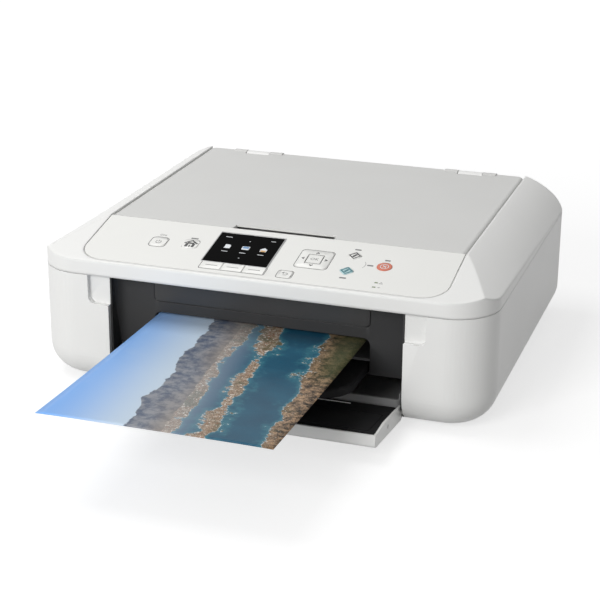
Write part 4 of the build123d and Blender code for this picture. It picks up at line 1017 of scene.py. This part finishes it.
@dataclass
class PanelPrint:
    """Marks printed on the control panel, its keys and the display, with painted groove shade round some
    keys, drawn as thin flat pieces.
    """

    back: float = -92.0
    top: float = 148.0
    drop: float = 0.2
    ink: float = 0.06
    sunk: float = 0.02
    key_top: float = 0.5
    screen_top: float = 0.7
    display: tuple[Point, Point] = ((-26.2, -130.6), (66.0, 56.2))
    # middle and width of the bars that stand where the real panel names its keys
    label_bars: tuple[tuple[Point, float], ...] = (
        ((-81.0, -120.2), 7.4), ((81.0, -107.0), 6.4), ((81.6, -159.2), 6.6), ((100.4, -132.6), 6.0),
        ((114.0, -120.4), 5.4),
    )
    # key, size and corner radius of the dark lines of painted shade where the grooves round the keys are
    groove_shade_frames: tuple[tuple[str, Point, float], ...] = (
        ("power_key", (17.4, 18.2), 4.6), ("arrow_pad", (32.8, 33.4), 4.2), ("back_key", (15.4, 13.2), 2.6),
        ("middle_soft_key", (65.6, 12.8), 1.6),
    )

    def place(self, x: np.ndarray, y: np.ndarray, lift: np.ndarray) -> np.ndarray:
        """The panel's plane: height falls by the slope towards the front, and lift is along its normal.

        Args:
            x: across, in millimetres.
            y: depth, in millimetres.
            lift: height over the surface, in millimetres.

        Returns:
            Points in the frame, in metres.
        """
        run = math.hypot(1.0, self.drop)
        z = self.top + self.drop * (y - self.back) + lift / run
        return np.stack([x * MM, (y - lift * self.drop / run) * MM + ORIGIN_Y, z * MM], axis=-1)

    def draw(self, work: MeshWork, strokes: list[Stroke], middle: Point = (0.0, 0.0),
             base: float = 0.0) -> None:
        """Adds inked lines about a middle.

        Args:
            work: the mesh that takes them.
            strokes: the lines.
            middle: where their zero lies on the panel.
            base: height of the surface under them.
        """
        for stroke in strokes:
            path = np.asarray(stroke.points, float) + np.array(middle)
            work.stroke(path, stroke.width, self.place, base - self.sunk, base + self.ink, stroke.closed)

    def build(self) -> None:
        """Draws the marks of the panel, of each key, and of the display, and the painted shade of the key
        grooves.
        """
        self.panel_marks()
        self.groove_shade_lines()
        self.key_marks()
        self.screen_marks()

    def panel_marks(self) -> None:
        """Word and bars over the keys, the bracket by the start keys, and signs beside the lamps."""
        work = MeshWork("panel_ink")
        self.draw(work, [Stroke(arc((86.5, -132.6), 9.2, -34, 34), 0.4)])
        self.word(work, "ON", (-114.0, -120.4), 4.4, 0.0)
        for middle, width in self.label_bars:
            work.prism(rounded(middle, (width, 2.2), 0.7), self.place, -self.sunk, self.ink)
        triangle = Stroke([(117.4, -162.0), (120.6, -162.0), (119.0, -159.2)], 0.4, True)
        waves = [Stroke(arc((119.0, -169.6), radius, 40, 140), 0.4) for radius in (1.6, 0.7)]
        self.draw(work, [triangle, *waves])
        work.write(Body.SCANNER, LABEL_GREY, "dark_grey_plastic")

    def groove_shade_lines(self) -> None:
        """A dark line of painted groove shade round each framed key, in its groove's place."""
        # painted shade: dark lines put where the grooves round the keys would be in shade
        work = MeshWork("key_groove_shade_lines")
        for key, size, radius in self.groove_shade_frames:
            self.draw(work, [Stroke(rounded(KEY_MIDDLES[key], size, radius), 0.55, True)])
        work.write(Body.SCANNER, KEY_INK_AND_GROOVE_SHADE, "dark_grey_plastic")

    def word(self, work: MeshWork, text: str, middle: Point, height: float, base: float) -> None:
        """Adds a word as flat letters with a thickness.

        Args:
            work: the mesh that takes the letters.
            text: the word.
            middle: its middle on the panel.
            height: the letters' size.
            base: height of the surface under it.
        """
        curve = bpy.data.curves.new("word", "FONT")
        curve.body = text
        curve.size = height
        curve.align_x, curve.align_y = "CENTER", "CENTER"
        curve.extrude = (self.ink + self.sunk) / 2
        curve.resolution_u = 3
        holder = bpy.data.objects.new("word", curve)
        bpy.context.scene.collection.objects.link(holder)
        bpy.context.view_layer.update()
        mesh = bpy.data.meshes.new_from_object(holder.evaluated_get(bpy.context.evaluated_depsgraph_get()))
        flat = np.zeros(len(mesh.vertices) * 3)
        mesh.vertices.foreach_get("co", flat)
        flat = flat.reshape(-1, 3) + np.array([*middle, (self.ink - self.sunk) / 2 + base])
        points = self.place(flat[:, 0], flat[:, 1], flat[:, 2])
        work.points.append(points)
        work.faces.extend([[vertex + work.count for vertex in face.vertices] for face in mesh.polygons])
        work.count += len(points)
        bpy.data.objects.remove(holder)
        bpy.data.meshes.remove(mesh)
        bpy.data.curves.remove(curve)

    def key_marks(self) -> None:
        """A sign on each key, riding on the key."""
        signs = {
            "power_key": (KeySigns.power, LABEL_GREY), "home_key": (KeySigns.home, KEY_INK_AND_GROOVE_SHADE),
            "back_key": (KeySigns.back, LABEL_GREY), "arrow_pad": (KeySigns.arrows, KEY_INK_AND_GROOVE_SHADE),
            "black_start_key": (KeySigns.start, KEY_INK_AND_GROOVE_SHADE), "colour_start_key": (KeySigns.start, DARK_TEAL),
            "stop_key": (KeySigns.stop, SCREEN_WHITE), "left_soft_key": (KeySigns.bar, LABEL_GREY),
            "middle_soft_key": (KeySigns.bar, LABEL_GREY), "right_soft_key": (KeySigns.bar, LABEL_GREY),
        }
        for key, (sign, finish) in signs.items():
            work = MeshWork(key + "_sign")
            self.draw(work, sign(), KEY_MIDDLES[key], self.key_top)
            self.write_on_key(work, key, finish)
        work = MeshWork("ok_key_sign")
        x, y = KEY_MIDDLES["ok_key"]
        self.word(work, "OK", (x, y - 0.2), 5.6, self.key_top)
        self.write_on_key(work, "ok_key", LABEL_GREY)

    @staticmethod
    def write_on_key(work: MeshWork, key: str, finish: Finish) -> None:
        """Writes a sign that moves with its key.

        Args:
            work: the sign's mesh.
            key: the key's node.
            finish: the ink.
        """
        piece = work.write(Body.SCANNER, finish, "dark_grey_plastic")
        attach(piece, key + "_body")

    def screen_marks(self) -> None:
        """Three picture signs with a line under each, small lines in the corners, and the silver edge."""
        low, high = self.screen_top - self.sunk, self.screen_top + 0.04
        page = np.array([(-3.0, -3.4), (3.0, -3.4), (3.0, 1.6), (1.4, 3.6), (-3.0, 3.6)])
        picture = rounded((0.0, 0.2), (7.6, 6.2), 0.8)
        house = np.array([
            (-3.2, -3.2), (3.2, -3.2), (3.2, 0.4), (4.2, 0.4), (0.0, 4.2), (-4.2, 0.4), (-3.2, 0.4),
        ])
        columns = (-43.7, -25.3, -7.0)
        outlines = [shape + np.array([x, -128.4]) for x, shape in zip(columns, (page, picture, house))]
        outlines += [rounded((x, -137.6), (6.4, 0.9), 0.3) for x in columns]
        outlines += [rounded((x, -111.0), (width, 0.9), 0.3) for x, width in ((-48.6, 7.0), (-3.0, 5.0))]
        outlines += [rounded((-25.3, y), (1.4, 1.0), 0.4) for y in (-115.6, -147.4)]
        white = MeshWork("screen_pictures_white")
        for outline in outlines:
            white.prism(outline, self.place, low, high)
        white.write(Body.SCANNER, SCREEN_WHITE, "white_plastic")
        for name, finish, middle, size in (
            ("screen_picture_blue", SCREEN_BLUE, (-25.3, -127.4), (6.0, 3.6)),
            ("screen_picture_amber", SCREEN_AMBER, (-7.0, -130.2), (5.2, 2.6)),
        ):
            work = MeshWork(name)
            work.prism(rounded(middle, size, 0.6), self.place, high - 0.005, high + 0.03)
            work.write(Body.SCANNER, finish, "white_plastic")
        rim = MeshWork("display_rim")
        rim.stroke(rounded(*self.display, 0.5), 0.9, self.place, -self.sunk, self.screen_top, True)
        rim.write(Body.SCANNER, SILVER_TRIM, "steel")


@dataclass
class Studio:
    """Floor, background, lights and the camera at the photograph's viewing angle."""

    azimuth: float = math.radians(18.56)
    elevation: float = math.radians(20.54)
    roll: float = math.radians(0.36)
    distance: float = 1.70679
    target: tuple[float, float, float] = (-0.01317, 0.0, 0.04464)
    focal: float = 1629.86
    image: float = 600.0
    sensor: float = 36.0
    floor_size: float = 12.0
    floor_grey: Colour = (0.44, 0.44, 0.44)
    near_glow: float = 0.66
    far_glow: float = 0.24
    glow_reach: Point = (0.3, 2.0)
    light_level: float = 0.34
    seen_level: float = 1.0

    def build(self) -> None:
        """Makes the floor, world, lamps and camera."""
        bpy.context.scene.view_settings.view_transform = "Standard"
        self.floor()
        self.world()
        self.lamp("front_softbox", (-0.40, -1.78, 0.85), 0.9, 25.0)
        self.lamp("top_left_softbox", (-0.6, 0.0, 1.5), 0.9, 10.0)
        self.camera()

    def floor(self) -> None:
        """A wide pale floor that keeps the shadow and reads white in the background."""
        half = self.floor_size / 2
        mesh = bpy.data.meshes.new("floor")
        corners = [(-half, -half, 0), (half, -half, 0), (half, half, 0), (-half, half, 0)]
        mesh.from_pydata(corners, [], [(0, 1, 2, 3)])
        plane = bpy.data.objects.new("floor", mesh)
        bpy.context.scene.collection.objects.link(plane)
        material = bpy.data.materials.new("pale_floor")
        material.use_nodes = True
        material.node_tree.nodes.clear()
        board = Board(material.node_tree)
        shader = board.add(
            "ShaderNodeBsdfPrincipled",
            {"Base Color": (*self.floor_grey, 1), "Roughness": 0.9, "Specular IOR Level": 0.1},
        )
        glow = board.add("ShaderNodeEmission", {"Color": (1, 1, 1, 1)})
        where = board.add("ShaderNodeTexCoord").outputs["Object"]
        reach = board.add("ShaderNodeVectorMath", {0: where}, operation="LENGTH").outputs["Value"]
        far = board.scaled(board.step(reach, *self.glow_reach), self.far_glow)
        strength = board.math("ADD", self.near_glow, far)
        board.tree.links.new(self.seen(board, strength), glow.inputs["Strength"])
        both = board.add("ShaderNodeAddShader", {0: shader.outputs[0], 1: glow.outputs[0]})
        board.add("ShaderNodeOutputMaterial", {"Surface": both.outputs[0]})
        mesh.materials.append(material)

    @staticmethod
    def seen(board: Board, strength: Any) -> bpy.types.NodeSocket:
        """A strength that only the camera and mirrored or clear surfaces see.

        Args:
            board: the tree's board.
            strength: a number or socket.

        Returns:
            The value's socket.
        """
        path = board.add("ShaderNodeLightPath")
        either = board.math("MAXIMUM", path.outputs["Is Camera Ray"], path.outputs["Is Glossy Ray"])
        either = board.math("MAXIMUM", either, path.outputs["Is Transmission Ray"])
        return board.math("MULTIPLY", either, strength)

    def world(self) -> None:
        """White to the camera, and a softer level on the object."""
        world = bpy.data.worlds.new("studio")
        bpy.context.scene.world = world
        world.use_nodes = True
        world.node_tree.nodes.clear()
        board = Board(world.node_tree)
        level = board.math("ADD", self.seen(board, self.seen_level - self.light_level), self.light_level)
        back = board.add("ShaderNodeBackground", {"Color": (1, 1, 1, 1), "Strength": level})
        board.add("ShaderNodeOutputWorld", {"Surface": back.outputs[0]})

    def lamp(self, name: str, place: tuple[float, float, float], size: float, power: float) -> None:
        """A square soft lamp turned to the object.

        Args:
            name: the lamp's name.
            place: its position.
            size: length of its side.
            power: in watts.
        """
        data = bpy.data.lights.new(name, "AREA")
        data.size = size
        data.energy = power
        lamp = bpy.data.objects.new(name, data)
        bpy.context.scene.collection.objects.link(lamp)
        lamp.location = place
        aim = Vector((0, 0, 0.05)) - Vector(place)
        lamp.rotation_euler = aim.to_track_quat("-Z", "Y").to_euler()

    def camera(self) -> None:
        """A camera on a circle round the target, as far, as high and as long as the photograph's."""
        azimuth, elevation = self.azimuth, self.elevation
        level = math.cos(elevation)
        back = Vector((math.sin(azimuth) * level, -math.cos(azimuth) * level, math.sin(elevation)))
        right = (-back).cross(Vector((0, 0, 1))).normalized()
        up = right.cross(-back)
        turned_right = math.cos(self.roll) * right + math.sin(self.roll) * up
        turned_up = math.cos(self.roll) * up - math.sin(self.roll) * right
        eye = Vector(self.target) + Vector((0, ORIGIN_Y, 0)) + back * self.distance
        data = bpy.data.cameras.new("photo_camera")
        data.sensor_width = self.sensor
        data.lens = self.focal / self.image * self.sensor
        camera = bpy.data.objects.new("photo_camera", data)
        bpy.context.scene.collection.objects.link(camera)
        turn = Matrix((turned_right, turned_up, back)).transposed()
        camera.matrix_world = Matrix.Translation(eye) @ turn.to_4x4()
        bpy.context.scene.camera = camera


def main() -> None:
    """Builds the scene, piece by piece."""
    logging.basicConfig(level=logging.INFO, format="%(message)s")
    Studio().build()
    CarriedNodes().build()
    DocumentPad().build()
    PrintedSheet().build()
    PanelPrint().build()


if __name__ == "__main__":
    main()
